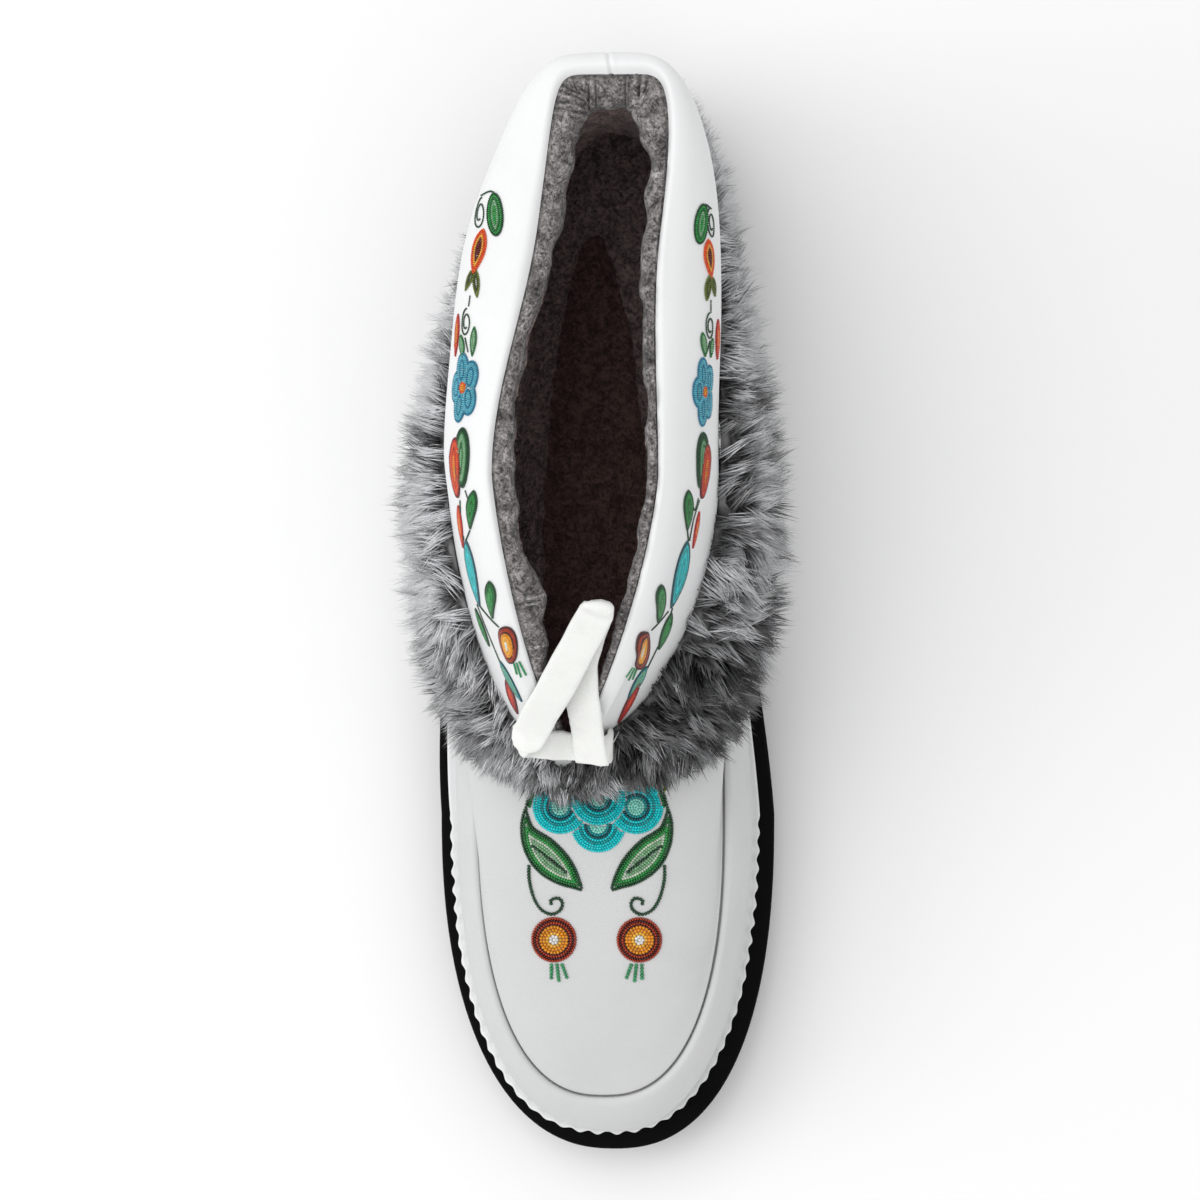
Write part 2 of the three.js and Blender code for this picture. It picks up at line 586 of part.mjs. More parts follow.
function thong(from, to, trimStart = 0) {
  const notch = skin(-RIGHT_TURN, levelNumber("rim") + 0.5, -layerGap);
  const place = laceRoute.map((p) => notch.clone().add(new THREE.Vector3(p.x, p.y, p.z)));
  const rings = [];
  for (let i = from; i <= to; i++) {
    const across = THREE.MathUtils.degToRad(laceRoute[i].across);
    const tilt = THREE.MathUtils.degToRad(laceRoute[i].tilt);
    const flat = Math.cos(tilt);
    const side = new THREE.Vector3(flat * Math.cos(across), flat * Math.sin(across), Math.sin(tilt));
    const run = place[Math.min(i + 1, place.length - 1)].clone().sub(place[Math.max(i - 1, 0)]).normalize();
    const w = side.clone().multiplyScalar(laceWidth / 2);
    const h = run.clone().cross(side).normalize().multiplyScalar(laceThickness / 2);
    const centre = place[i].clone().addScaledVector(run, i === from ? trimStart : 0);
    rings.push([
      centre.clone().add(w).add(h),
      centre.clone().sub(w).add(h),
      centre.clone().sub(w).sub(h),
      centre.clone().add(w).sub(h),
    ]);
  }
  return stack(rings);
}

// Finishes
const rubber = { color: 0x0b0a0a, roughness: 0.75, metalness: 0 };
const whiteLeather = { color: 0xe9eaea, roughness: 0.5, metalness: 0 };
const fleece = { color: 0x2b2123, roughness: 1, metalness: 0 };
const fur = { color: 0x7d7d7e, roughness: 0.9, metalness: 0 };
const laceLeather = { color: 0xf2f3ef, roughness: 0.7, metalness: 0 };

const boot = new THREE.Group();
function addNode(name, solid, finish) {
  const mesh = new THREE.Mesh(geometryOf(solid), new THREE.MeshStandardMaterial(finish));
  mesh.name = name;
  boot.add(mesh);
}

addNode("outsole", makeOutsole(), rubber);
addNode("crimped_margin", makeMargin(), whiteLeather);
addNode("upper", makeUpper(), whiteLeather);
addNode("apron", makeApron(), whiteLeather);
addNode("shaft", makeShaft(), whiteLeather);
addNode("insole", makeInsole(), fleece);
addNode("fur_cuff", makeFurCuff(), fur);
addNode("lace_crossing", thong(0, crossingEnd), laceLeather);
addNode("lace_loop", thong(crossingEnd, laceRoute.length - 1, gap), laceLeather);

export default boot;
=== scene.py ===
import math

import bpy
import numpy as np
from mathutils import Matrix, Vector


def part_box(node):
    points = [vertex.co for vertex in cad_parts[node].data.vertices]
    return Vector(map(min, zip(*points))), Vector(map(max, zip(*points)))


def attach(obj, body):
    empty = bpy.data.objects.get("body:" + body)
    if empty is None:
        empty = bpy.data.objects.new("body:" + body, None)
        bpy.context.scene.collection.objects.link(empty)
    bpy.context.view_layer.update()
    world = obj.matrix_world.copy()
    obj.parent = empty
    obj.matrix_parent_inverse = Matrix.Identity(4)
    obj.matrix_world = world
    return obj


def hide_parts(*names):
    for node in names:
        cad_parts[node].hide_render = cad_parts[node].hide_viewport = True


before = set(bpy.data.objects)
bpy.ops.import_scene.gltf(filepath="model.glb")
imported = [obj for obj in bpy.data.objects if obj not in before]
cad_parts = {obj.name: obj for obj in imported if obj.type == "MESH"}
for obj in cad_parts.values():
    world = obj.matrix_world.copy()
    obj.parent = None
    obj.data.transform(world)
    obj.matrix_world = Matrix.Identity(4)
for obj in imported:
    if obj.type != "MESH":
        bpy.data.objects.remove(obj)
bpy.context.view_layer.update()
mm = 0.001
soleBox = [np.array(corner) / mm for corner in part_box("outsole")]
print("frame loaded")

# Camera: it stands over the big toe's side and looks down on the boot.
cameraSetup = {"place": (0.0554, -0.0979, 1.4), "target": (-0.0006, -0.0979, 0.05), "lens": 155.6, "sensor": 36.0}
photoSetup = {"focal": 5185.0, "middle": (600.0, 600.0)}  # the photograph's own pixels


def addCamera(place, target, lens, sensor):
    # Axes by hand: back = place - target, right = Y x back, up = back x right
    back = np.subtract(place, target)
    back /= np.linalg.norm(back)
    right = np.cross((0, 1, 0), back)
    right /= np.linalg.norm(right)
    up = np.cross(back, right)
    data = bpy.data.cameras.new("camera")
    data.lens, data.sensor_width = lens, sensor
    camera = bpy.data.objects.new("camera", data)
    bpy.context.collection.objects.link(camera)
    matrix = np.eye(4)
    matrix[:3, 0], matrix[:3, 1], matrix[:3, 2], matrix[:3, 3] = right, up, back, place
    camera.matrix_world = Matrix(matrix.tolist())
    bpy.context.scene.camera = camera


addCamera(**cameraSetup)

# The boot's last
sole = {
    "length": soleBox[1][1] - soleBox[0][1],
    "heelSetback": soleBox[1][1],  # origin to the heel end
    "ballWidth": 89.0,
    "heelWidth": 68.0,
    "heelThickness": 26.0,
    "ballThickness": 16.0,
    "toeThickness": 14.0,
    "toeSpring": 7.0,
    "archRise": 5.0,
    "lugDepth": 3.5,
    "lugGap": 6.0,
    "lugLength": 9.0,
    "lugInset": 5.0,
    "grooveDepth": 1.0,
    "topRound": 1.2,
}
last = {
    "width": 77.6,
    "instepHeight": 60.0,
    "throatHeight": 85.0,
    "shaftHeight": 137.0,
    "ankleWidth": 67.0,
    "collarWidth": 40.0,
    "leather": 2.2,
    "gap": 0.3,  # between two touching pieces
    "layerGap": 0.4,  # between the skin and a layer laid on it
}
halfLast = last["width"] / 2
waistSway = 0.05 * sole["ballWidth"]
quarterTurn = math.pi / 2

# Levels from the feather edge to the collar lip, in the columns' order. toe, wide and heel are places along
# the sole as shares of its length from the heel end. Rises are shares of the instep height and half a share
# of the half last width; on the shaft, rises are shares of the climb from the ankle seam to the collar and
# half a share of the way from half the collar width to half the ankle width.
levelColumns = "toe wide heel riseToe riseWide riseHeel half heelShare nToe nHeel nEnd xToe xWide xHeel fall".split()
footLevels = {
    "feather": (0.966, 0.682, 0.016, 0, 0, 0, 0.94, 0.8, 2.35, 8, 2.4, 0.01, 0, 0.11, 1.5),
    "lowWall": (0.975, 0.682, 0.009, 0.1, 0.14, 0.2, 0.985, 0.815, 2.35, 7.5, 2.4, 0.01, 0, 0.11, 1.5),
    "midWall": (0.977, 0.682, 0.007, 0.22, 0.34, 0.44, 1, 0.82, 2.35, 7, 2.4, 0.01, 0, 0.115, 1.5),
    "highWall": (0.967, 0.682, 0.01, 0.34, 0.53, 0.63, 0.968, 0.82, 2.35, 6.5, 2.4, 0.01, 0, 0.12, 1.5),
    "rollCrown": (0.952, 0.68, 0.012, 0.42, 0.64, 0.74, 0.888, 0.85, 2.4, 6, 2.4, 0.005, 0, 0.125, 1.5),
    "rollInside": (0.944, 0.68, 0.013, 0.43, 0.652, 0.77, 0.836, 0.88, 2.45, 5.5, 2.4, 0, 0, 0.13, 1.5),
    "apronSeam": (0.939, 0.68, 0.014, 0.41, 0.628, 0.8, 0.804, 0.89, 2.45, 5, 2.4, 0, 0, 0.13, 1.5),
    "apronEdge": (0.929, 0.675, 0.016, 0.437, 0.65, 0.83, 0.768, 0.92, 2.45, 4.6, 2.4, 0, -0.01, 0.13, 1.5),
    "apronLow": (0.887, 0.65, 0.018, 0.548, 0.705, 0.88, 0.765, 0.9, 2.4, 4.2, 2.4, -0.01, -0.015, 0.135, 1.4),
    "apronMid": (0.818, 0.6, 0.021, 0.672, 0.785, 0.94, 0.8, 0.87, 2.35, 3.6, 2.4, -0.03, -0.025, 0.135, 1.3),
    "apronHigh": (0.728, 0.52, 0.026, 0.822, 0.89, 1.02, 0.845, 0.84, 2.3, 3, 2.4, -0.07, -0.04, 0.14, 1.2),
    "ankleSeam": (0.632, 0.43, 0.032, 0.995, 1, 1.1, 0.88, 0.82, 2.3, 2.6, 2.4, -0.12, -0.05, 0.14, 1.2),
}
shaftLevels = {
    "ankle": (0.634, 0.39, 0.038, 0.24, 0.25, 0.23, 0.99, 0.88, 1.95, 2.4, 2.4, -0.155, -0.05, 0.13, 1.6),
    "leg": (0.634, 0.365, 0.033, 0.48, 0.5, 0.48, 1, 0.97, 1.62, 2.6, 2.5, -0.19, -0.05, 0.12, 2),
    "bulge": (0.632, 0.35, 0.021, 0.68, 0.725, 0.72, 0.96, 1, 1.42, 2.9, 2.7, -0.21, -0.05, 0.12, 2.4),
    "shoulder": (0.627, 0.355, 0.011, 0.84, 0.875, 0.885, 0.71, 1, 1.37, 3.4, 3.3, -0.205, -0.05, 0.13, 2.7),
    "rim": (0.62, 0.37, 0.012, 0.94, 0.963, 0.975, 0.4, 0.91, 1.42, 4.6, 4.6, -0.16, -0.052, 0.15, 2.9),
    "collarEdge": (0.612, 0.37, 0.021, 1, 1, 1.005, 0.13, 0.79, 1.36, 6.5, 6.5, -0.155, -0.054, 0.165, 3),
    "collarLip": (0.61, 0.37, 0.03, 0.99, 0.993, 0.99, 0, 0.74, 1.33, 8, 8, -0.155, -0.055, 0.175, 3),
}
levelNames = [*footLevels, *shaftLevels]
seamLevel, ankleLevel, rimLevel = (levelNames.index(name) for name in ("apronSeam", "ankleSeam", "rim"))
lipLevel = len(levelNames) - 1


def mix(a, b, share):
    return a + (b - a) * share


def clamp01(v):
    return np.clip(v, 0, 1)


def smooth(v):  # 3v^2 - 2v^3 between 0 and 1
    v = clamp01(v)
    return v * v * (3 - 2 * v)


def atLength(share):  # y at a share of the sole's length from the heel end
    return sole["heelSetback"] - share * sole["length"]


def lengthShare(y):
    return (sole["heelSetback"] - y) / sole["length"]


def levelsInMillimetres():
    seamRise = dict(zip(levelColumns, footLevels["ankleSeam"]))
    rows = []
    for name in levelNames:
        onFoot = name in footLevels
        row = dict(zip(levelColumns, footLevels[name] if onFoot else shaftLevels[name]))
        for key in ("toe", "wide", "heel"):
            row[key] = atLength(row[key])
        for key in ("xToe", "xWide", "xHeel"):
            row[key] *= halfLast
        for key in ("riseToe", "riseWide", "riseHeel"):
            top = last["throatHeight" if key == "riseToe" else "shaftHeight"]
            foot = last["instepHeight"]
            row[key] = row[key] * foot if onFoot else mix(seamRise[key] * foot, top, row[key])
        narrow, broad = last["collarWidth"] / 2, last["ankleWidth"] / 2
        row["half"] = row["half"] * halfLast if onFoot else mix(narrow, broad, row["half"])
        rows.append(row)
    return {key: np.array([row[key] for row in rows], float) for key in levelColumns}


levels = levelsInMillimetres()


def through(values, t):
    # Smooth curve through values at 0, 1, 2 ...: a cubic between each two, with slopes from their neighbours
    final = len(values) - 1
    i = np.clip(np.floor(t).astype(int), 0, final - 1)
    f = t - i
    a, b, c, d = (values[np.clip(i + k, 0, final)] for k in (-1, 0, 1, 2))
    return b + f / 2 * (c - a + f * (2 * a - 5 * b + 4 * c - d + f * (3 * (b - c) + d - a)))


def treadHeight(y):
    # Underside of the tread: flat at heel and ball, raised at the waist and up the toe
    s = lengthShare(y)
    waist = smooth((s - 0.24) / 0.08) * (1 - smooth((s - 0.42) / 0.16))
    return sole["archRise"] * waist + sole["toeSpring"] * clamp01((s - 0.8) / 0.2) ** 2


def soleTop(y):
    # Upper face of the sole: heel height down to the ball, then up the toe
    s = lengthShare(y)
    climb = sole["toeThickness"] + sole["toeSpring"] - sole["ballThickness"]
    drop = mix(sole["heelThickness"], sole["ballThickness"], smooth((s - 0.12) / 0.5))
    return drop + climb * clamp01((s - 0.7) / 0.3) ** 2


def curveReach(c, s, p, q):
    # r on the curve (r c)^p + (r s)^q = 1 in the direction (c, s), by halving
    low, high = np.zeros_like(c * s * p * q), np.full_like(c * s * p * q, 2.0)
    for _ in range(26):
        r = (low + high) / 2
        inside = (r * c) ** p + (r * s) ** q < 1
        low, high = np.where(inside, r, low), np.where(inside, high, r)
    return low


def planPoint(angle, form):
    # Plan outline: two half superellipses that meet at the widest station. -90 degrees is the toe, 0 the big
    # toe's side, 90 the heel. The rear half narrows to heelShare, and its centre line sways at the waist.
    c, s = np.cos(angle), np.sin(angle)
    front = s < 0
    reach = curveReach(abs(c), abs(s), np.where(front, form["nToe"], form["nEnd"]),
                       np.where(front, form["nToe"], form["nHeel"]))
    across, along = c * reach, abs(s) * reach
    y = mix(form["wide"], np.where(front, form["toe"], form["heel"]), along)
    narrow = np.where(front, 1, mix(1, form["heelShare"], smooth(along / 0.62)))
    rear = mix(form["xWide"], form["xHeel"], smooth(along)) - form["sway"] * np.sin(np.pi * clamp01(along))
    centre = np.where(front, mix(form["xWide"], form["xToe"], along**2), rear)
    return centre + across * form["half"] * narrow, y, along, front


def profileNormal(across, up, sign, level):
    # Outward normal of the profile line (across, up), from a short step each way
    low, high = np.maximum(0, level - 0.05), np.minimum(lipLevel, level + 0.05)
    dx = through(levels[across], high) - through(levels[across], low)
    dz = through(levels[up], high) - through(levels[up], low)
    length = np.maximum(np.hypot(dx, dz), 1e-9)
    return sign * dz / length, -sign * dx / length


def levelForm(level, depth):
    # Plan form and heights of a level, moved inwards by depth along the profiles' normals
    form = {key: through(levels[key], level) for key in levelColumns}
    for across, up, sign in (("toe", "riseToe", -1), ("half", "riseWide", 1), ("heel", "riseHeel", 1)):
        normal = profileNormal(across, up, sign, level)
        form[across] = form[across] - depth * normal[0]
        form[up] = form[up] - depth * normal[1]
    form["sway"] = waistSway * np.maximum(0, 1 - level / seamLevel)
    return form


def skin(angle, level, depth=0.0, lift=0.0):
    # A point of the boot's outer skin, at a depth below it
    angle, level, depth = np.broadcast_arrays(np.asarray(angle, float), level, depth)
    form = levelForm(level, depth)
    x, y, along, front = planPoint(angle, form)
    share = np.where(front, along ** form["fall"], along**1.5)
    rise = mix(form["riseWide"], np.where(front, form["riseToe"], form["riseHeel"]), share)
    return np.stack([x, y, soleTop(y) + last["gap"] + rise + lift], -1)


def turn(count):  # angles round the boot from the toe on
    return -quarterTurn + 2 * np.pi * np.arange(count) / count


def unit(vectors):
    return vectors / np.maximum(np.linalg.norm(vectors, axis=-1, keepdims=True), 1e-9)


def ripple(points, size, seed, waves=12):
    # Smooth noise, mostly within -1 and 1: sine waves in random directions, about size across
    random = np.random.default_rng(seed)
    directions = unit(random.normal(size=(waves, 3))) * (2 * np.pi / size)
    phases = random.uniform(0, 2 * np.pi, waves)
    return np.sin(points @ directions.T + phases).sum(-1) / math.sqrt(waves)


# Mesh making
def ringFaces(rows, columns, closeRows=False, first=0):
    # Quads of a grid whose columns run round; closeRows joins its last row to its first as well
    r = np.arange(rows if closeRows else rows - 1)[:, None]
    c = np.arange(columns)[None, :]
    r2, c2 = (r + 1) % rows, (c + 1) % columns
    quads = [r * columns + c, r * columns + c2, r2 * columns + c2, r2 * columns + c]
    return first + np.stack(np.broadcast_arrays(*quads), -1).reshape(-1, 4)


def lidFaces(count, first, up):
    # A lid over a ring, from each point to the one across the foot; both ends are triangles
    i = np.arange(1, count // 2 - 1)
    quads = np.stack([i, i + 1, count - i - 1, count - i], -1)
    tris = np.array([[0, 1, count - 1], [count // 2 - 1, count // 2, count // 2 + 1]])
    turned = (quads, tris) if up else (quads[:, ::-1], tris[:, ::-1])
    return [first + faces for faces in turned]


def plateFaces(rows, columns):
    # A closed sheet of two grids, outer then inner, with quads round its four edges
    r, c = np.arange(rows - 1)[:, None], np.arange(columns - 1)[None, :]
    a = r * columns + c
    outer = np.stack([a, a + 1, a + columns + 1, a + columns], -1).reshape(-1, 4)
    under = rows * columns
    edge = np.concatenate([
        np.arange(columns - 1),
        np.arange(rows - 1) * columns + columns - 1,
        (rows - 1) * columns + np.arange(columns - 1, 0, -1),
        np.arange(rows - 1, 0, -1) * columns,
    ])
    nextEdge = np.roll(edge, -1)
    rim = np.stack([edge, edge + under, nextEdge + under, nextEdge], -1)
    return [outer, outer[:, ::-1] + under, rim]


def meshPiece(name, points, faceSets, finish, standsFor=(), tones=None, flow=None):
    # points in millimetres; tones is a colour and flow a place on the piece's own UV map for each point
    points = np.asarray(points, np.float32).reshape(-1, 3) * mm
    corners = np.concatenate([faces.ravel() for faces in faceSets]).astype(np.int32)
    sizes = np.concatenate([np.full(len(faces), faces.shape[1]) for faces in faceSets])
    mesh = bpy.data.meshes.new(name)
    mesh.vertices.add(len(points))
    mesh.vertices.foreach_set("co", points.ravel())
    mesh.loops.add(len(corners))
    mesh.loops.foreach_set("vertex_index", corners)
    mesh.polygons.add(len(sizes))
    mesh.polygons.foreach_set("loop_start", (np.cumsum(sizes) - sizes).astype(np.int32))
    mesh.polygons.foreach_set("use_smooth", np.ones(len(sizes), bool))
    mesh.update(calc_edges=True)
    if tones is not None:
        tones = np.concatenate([np.reshape(tones, (-1, 3)), np.ones((len(points), 1))], 1)
        colour = mesh.color_attributes.new("tone", "FLOAT_COLOR", "POINT")
        colour.data.foreach_set("color", tones.astype(np.float32).ravel())
    if flow is not None:
        layer = mesh.uv_layers.new(name="flow")
        layer.data.foreach_set("uv", np.reshape(flow, (-1, 2))[corners].astype(np.float32).ravel())
    mesh.materials.append(finish)
    piece = bpy.data.objects.new(name, mesh)
    bpy.context.collection.objects.link(piece)
    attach(piece, "root")
    if standsFor:
        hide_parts(*standsFor)
    return piece


# Finishes
def addNode(tree, kind, inputs=None, **settings):
    node = tree.nodes.new(kind)
    for key, value in settings.items():
        setattr(node, key, value)
    for key, value in (inputs or {}).items():
        if isinstance(value, bpy.types.NodeSocket):
            tree.links.new(value, node.inputs[key])
        else:
            node.inputs[key].default_value = value
    return node


def effectGroup(name, knobs, results, build):
    # A shader node group with float knobs; build returns one socket for each result
    group = bpy.data.node_groups.new(name, "ShaderNodeTree")
    for label, value in knobs.items():
        group.interface.new_socket(label, in_out="INPUT", socket_type="NodeSocketFloat").default_value = value
    for label in results:
        group.interface.new_socket(label, in_out="OUTPUT", socket_type="NodeSocketFloat")
    entry = addNode(group, "NodeGroupInput")
    place = addNode(group, "ShaderNodeTexCoord").outputs["Object"]
    sockets = build(group, entry.outputs, place)
    leave = addNode(group, "NodeGroupOutput")
    for label, socket in zip(results, sockets):
        group.links.new(socket, leave.inputs[label])
    return group


def maths(tree, operation, a, b=0.0):
    return addNode(tree, "ShaderNodeMath", {0: a, 1: b}, operation=operation).outputs[0]


def noise(tree, place, scale, detail=2.0, roughness=0.5, distortion=0.0):
    inputs = {"Vector": place, "Scale": scale, "Detail": detail, "Roughness": roughness, "Distortion": distortion}
    return addNode(tree, "ShaderNodeTexNoise", inputs).outputs["Fac"]


def buildGrain(tree, knobs, place):
    # Pebbles between fine creases, with pores in them, and a broad unevenness of colour
    warp = addNode(tree, "ShaderNodeTexNoise", {"Vector": place, "Scale": 500.0}).outputs["Color"]
    shrunk = addNode(tree, "ShaderNodeVectorMath", {0: warp, 1: (0.0006, 0.0006, 0.0006)}, operation="MULTIPLY")
    moved = addNode(tree, "ShaderNodeVectorMath", {0: place, 1: shrunk.outputs[0]}, operation="ADD").outputs[0]
    cells = addNode(tree, "ShaderNodeTexVoronoi", {"Vector": moved, "Scale": knobs["Cells"]},
                    feature="DISTANCE_TO_EDGE").outputs["Distance"]
    pebble = maths(tree, "MINIMUM", maths(tree, "MULTIPLY", cells, 4.0), 1.0)
    pores = noise(tree, place, 5200.0, 1.0)
    height = maths(tree, "ADD", maths(tree, "MULTIPLY", pebble, knobs["Pebble"]), maths(tree, "MULTIPLY", pores, 0.35))
    mottle = noise(tree, place, 38.0, 3.0, 0.6)
    return height, mottle


def buildPile(tree, knobs, place):
    # Short curled pile: noise folded on itself for tufts, finer noise for fibres
    tufts = noise(tree, place, knobs["Tufts"], 3.0, 0.6, 1.2)
    fibres = noise(tree, place, knobs["Fibres"], 2.0, 0.7, 0.6)
    height = maths(tree, "ADD", maths(tree, "MULTIPLY", tufts, 0.7), maths(tree, "MULTIPLY", fibres, 0.5))
    return height, maths(tree, "MULTIPLY", tufts, fibres)


def buildScuff(tree, knobs, place):
    # Faint handling marks: the tops of a stretched noise, kept above a limit
    marks = noise(tree, place, knobs["Scale"], 4.0, 0.65, 0.4)
    return (addNode(tree, "ShaderNodeMapRange", {"Value": marks, "From Min": 0.52, "From Max": 0.78}).outputs[0],)


grainGroup = effectGroup("leather grain", {"Cells": 1500.0, "Pebble": 0.65}, ("Height", "Mottle"), buildGrain)
pileGroup = effectGroup("curled pile", {"Tufts": 260.0, "Fibres": 1400.0}, ("Height", "Fleck"), buildPile)
scuffGroup = effectGroup("scuffs", {"Scale": 45.0}, ("Mask",), buildScuff)


def colourMix(tree, share, a, b, mode="MIX"):
    node = addNode(tree, "ShaderNodeMix", data_type="RGBA", blend_type=mode)
    for socket, value in zip((node.inputs[0], node.inputs[6], node.inputs[7]), (share, a, b)):
        if isinstance(value, bpy.types.NodeSocket):
            tree.links.new(value, socket)
        else:
            socket.default_value = value
    return node.outputs[2]


def finishOf(name, colour, shades, **looks):
    # A material whose colour, roughness and normal come from shades(tree); looks go on the shader's sockets
    material = bpy.data.materials.new(name)
    material.use_nodes = True
    material.diffuse_color = (*colour, 1)
    tree = material.node_tree
    shader = tree.nodes["Principled BSDF"]
    shader.inputs["Base Color"].default_value = (*colour, 1)
    for label, value in looks.items():
        shader.inputs[label].default_value = value
    base, roughness, height, bump = shades(tree, colour)
    if base is not None:
        tree.links.new(base, shader.inputs["Base Color"])
    if roughness is not None:
        tree.links.new(roughness, shader.inputs["Roughness"])
    if height is not None:
        node = addNode(tree, "ShaderNodeBump", {"Height": height, "Strength": bump[0], "Distance": bump[1]})
        tree.links.new(node.outputs["Normal"], shader.inputs["Normal"])
    return material


def group(tree, nodeGroup, **knobs):
    node = addNode(tree, "ShaderNodeGroup", node_tree=nodeGroup)
    for label, value in knobs.items():
        node.inputs[label].default_value = value
    return node.outputs


def ranged(tree, value, low, high):
    return addNode(tree, "ShaderNodeMapRange", {"Value": value, "To Min": low, "To Max": high}).outputs[0]


def leatherShades(darker, bump, cells=1500.0, rough=(0.42, 0.6)):
    def shades(tree, colour):
        grain = group(tree, grainGroup, Cells=cells)
        marks = group(tree, scuffGroup, Scale=30.0)
        shade = tuple(v * darker for v in colour)
        mottled = colourMix(tree, grain["Mottle"], (*colour, 1), (*shade, 1))
        marked = colourMix(tree, maths(tree, "MULTIPLY", marks["Mask"], 0.35), mottled, (*[v * 0.9 for v in shade], 1))
        return marked, ranged(tree, grain["Mottle"], *rough), grain["Height"], bump
    return shades


def pileShades(deep, tufts, fibres, bump, fromTone=False):
    def shades(tree, colour):
        pile = group(tree, pileGroup, Tufts=tufts, Fibres=fibres)
        start = (*colour, 1)
        if fromTone:
            start = addNode(tree, "ShaderNodeAttribute", attribute_name="tone").outputs["Color"]
        fleckRange = {"Value": pile["Fleck"], "From Min": 0.16, "From Max": 0.36}
        fleck = addNode(tree, "ShaderNodeMapRange", fleckRange).outputs[0]
        tinted = colourMix(tree, 1.0, start, colourMix(tree, fleck, (deep, deep, deep, 1), (1, 1, 1, 1)), "MULTIPLY")
        return tinted, None, pile["Height"], bump
    return shades


def rubberShades(tree, colour):
    dust = group(tree, scuffGroup, Scale=70.0)
    fine = noise(tree, addNode(tree, "ShaderNodeTexCoord").outputs["Object"], 2600.0, 2.0)
    dusty = colourMix(tree, maths(tree, "MULTIPLY", dust["Mask"], 0.25), (*colour, 1), (0.01, 0.0098, 0.0095, 1))
    return dusty, ranged(tree, dust["Mask"], 0.65, 0.85), fine, (0.25, 0.0002)


def beadShades(tree, colour):
    tone = addNode(tree, "ShaderNodeAttribute", attribute_name="tone").outputs["Color"]
    cloud = noise(tree, addNode(tree, "ShaderNodeTexCoord").outputs["Object"], 900.0, 1.0)
    return colourMix(tree, maths(tree, "MULTIPLY", cloud, 0.25), tone, (0.0, 0.0, 0.0, 1)), None, None, None


def hairShades(tree, colour):
    tone = addNode(tree, "ShaderNodeAttribute", attribute_name="tone").outputs["Color"]
    streak = noise(tree, addNode(tree, "ShaderNodeTexCoord").outputs["Object"], 420.0, 2.0)
    dimmed = colourMix(tree, 1.0, tone, colourMix(tree, streak, (0.72, 0.72, 0.73, 1), (1, 1, 1, 1)), "MULTIPLY")
    return dimmed, None, None, None


def suedeShades(tree, colour):
    # A fine plain weave of nap along the thong's own map, with loose fibres over it
    flow = addNode(tree, "ShaderNodeUVMap", uv_map="flow").outputs["UV"]
    parts = addNode(tree, "ShaderNodeSeparateXYZ", {"Vector": flow}).outputs
    waves = [maths(tree, "SINE", maths(tree, "MULTIPLY", parts[key], 5200.0)) for key in ("X", "Y")]
    nap = group(tree, pileGroup, Tufts=900.0, Fibres=4200.0)
    height = maths(tree, "ADD", maths(tree, "MULTIPLY", maths(tree, "MULTIPLY", *waves), 0.25), nap["Height"])
    marks = group(tree, scuffGroup, Scale=90.0)
    worn = colourMix(tree, maths(tree, "MULTIPLY", marks["Mask"], 0.5), (*colour, 1), (*[v * 0.86 for v in colour], 1))
    return worn, ranged(tree, nap["Fleck"], 0.72, 0.95), height, (0.35, 0.0004)


finishColours = {
    "vamp": (0.655, 0.66, 0.66),
    "shaft": (0.85, 0.855, 0.86),
    "lace": (0.88, 0.89, 0.86),
    "rubber": (0.003, 0.003, 0.003),
    "fleece": (0.16, 0.14, 0.138),
    # The lining's and footbed's colours are far lighter than their dark brown fleece: painted light that makes up for
    # the shade deep inside the boot
    "lining": (0.62, 0.475, 0.45),
    "footbed": (0.25, 0.155, 0.14),
    "fur": (0.2, 0.2, 0.205),
    "bead": (0.1, 0.3, 0.2),
    "seam": (0.36, 0.36, 0.355),
}
vampLeather = finishOf("white vamp leather", finishColours["vamp"], leatherShades(0.93, (0.22, 0.0003)),
                       **{"Specular IOR Level": 0.4})
shaftLeather = finishOf("white shaft leather", finishColours["shaft"], leatherShades(0.95, (0.16, 0.0003), 1900.0),
                        **{"Specular IOR Level": 0.4})
blackRubber = finishOf("black moulded rubber", finishColours["rubber"], rubberShades, **{"Specular IOR Level": 0.05})
bandFleece = finishOf("taupe fleece", finishColours["fleece"], pileShades(0.12, 420.0, 1500.0, (1.0, 0.0022), True),
                      **{"Roughness": 1.0, "Sheen Weight": 0.25, "Specular IOR Level": 0.1})
darkFleece = finishOf("dark brown fleece", finishColours["lining"], pileShades(0.28, 300.0, 1100.0, (1.0, 0.0025)),
                      **{"Roughness": 1.0, "Sheen Weight": 0.15, "Specular IOR Level": 0.1})
footbedFleece = finishOf("footbed fleece", finishColours["footbed"], pileShades(0.35, 300.0, 1300.0, (0.8, 0.0018)),
                         **{"Roughness": 1.0, "Sheen Weight": 0.05, "Specular IOR Level": 0.05})
mottledFur = finishOf("mottled fur", finishColours["fur"], hairShades,
                      **{"Roughness": 0.7, "Specular IOR Level": 0.25})
glassBead = finishOf("glass beads", finishColours["bead"], beadShades,
                     **{"Roughness": 0.28, "Specular IOR Level": 0.5, "Coat Weight": 0.3, "Coat Roughness": 0.1})
# Grey for the seam: partly its thread, partly painted shade in the groove
seamThreadAndGrooveShade = finishOf("grey seam thread and painted groove shade", finishColours["seam"], leatherShades(0.7, (0.3, 0.0002), 4000.0, (0.6, 0.8)))
napLeather = finishOf("white suede", finishColours["lace"], suedeShades, **{"Specular IOR Level": 0.2})
print("finishes made")

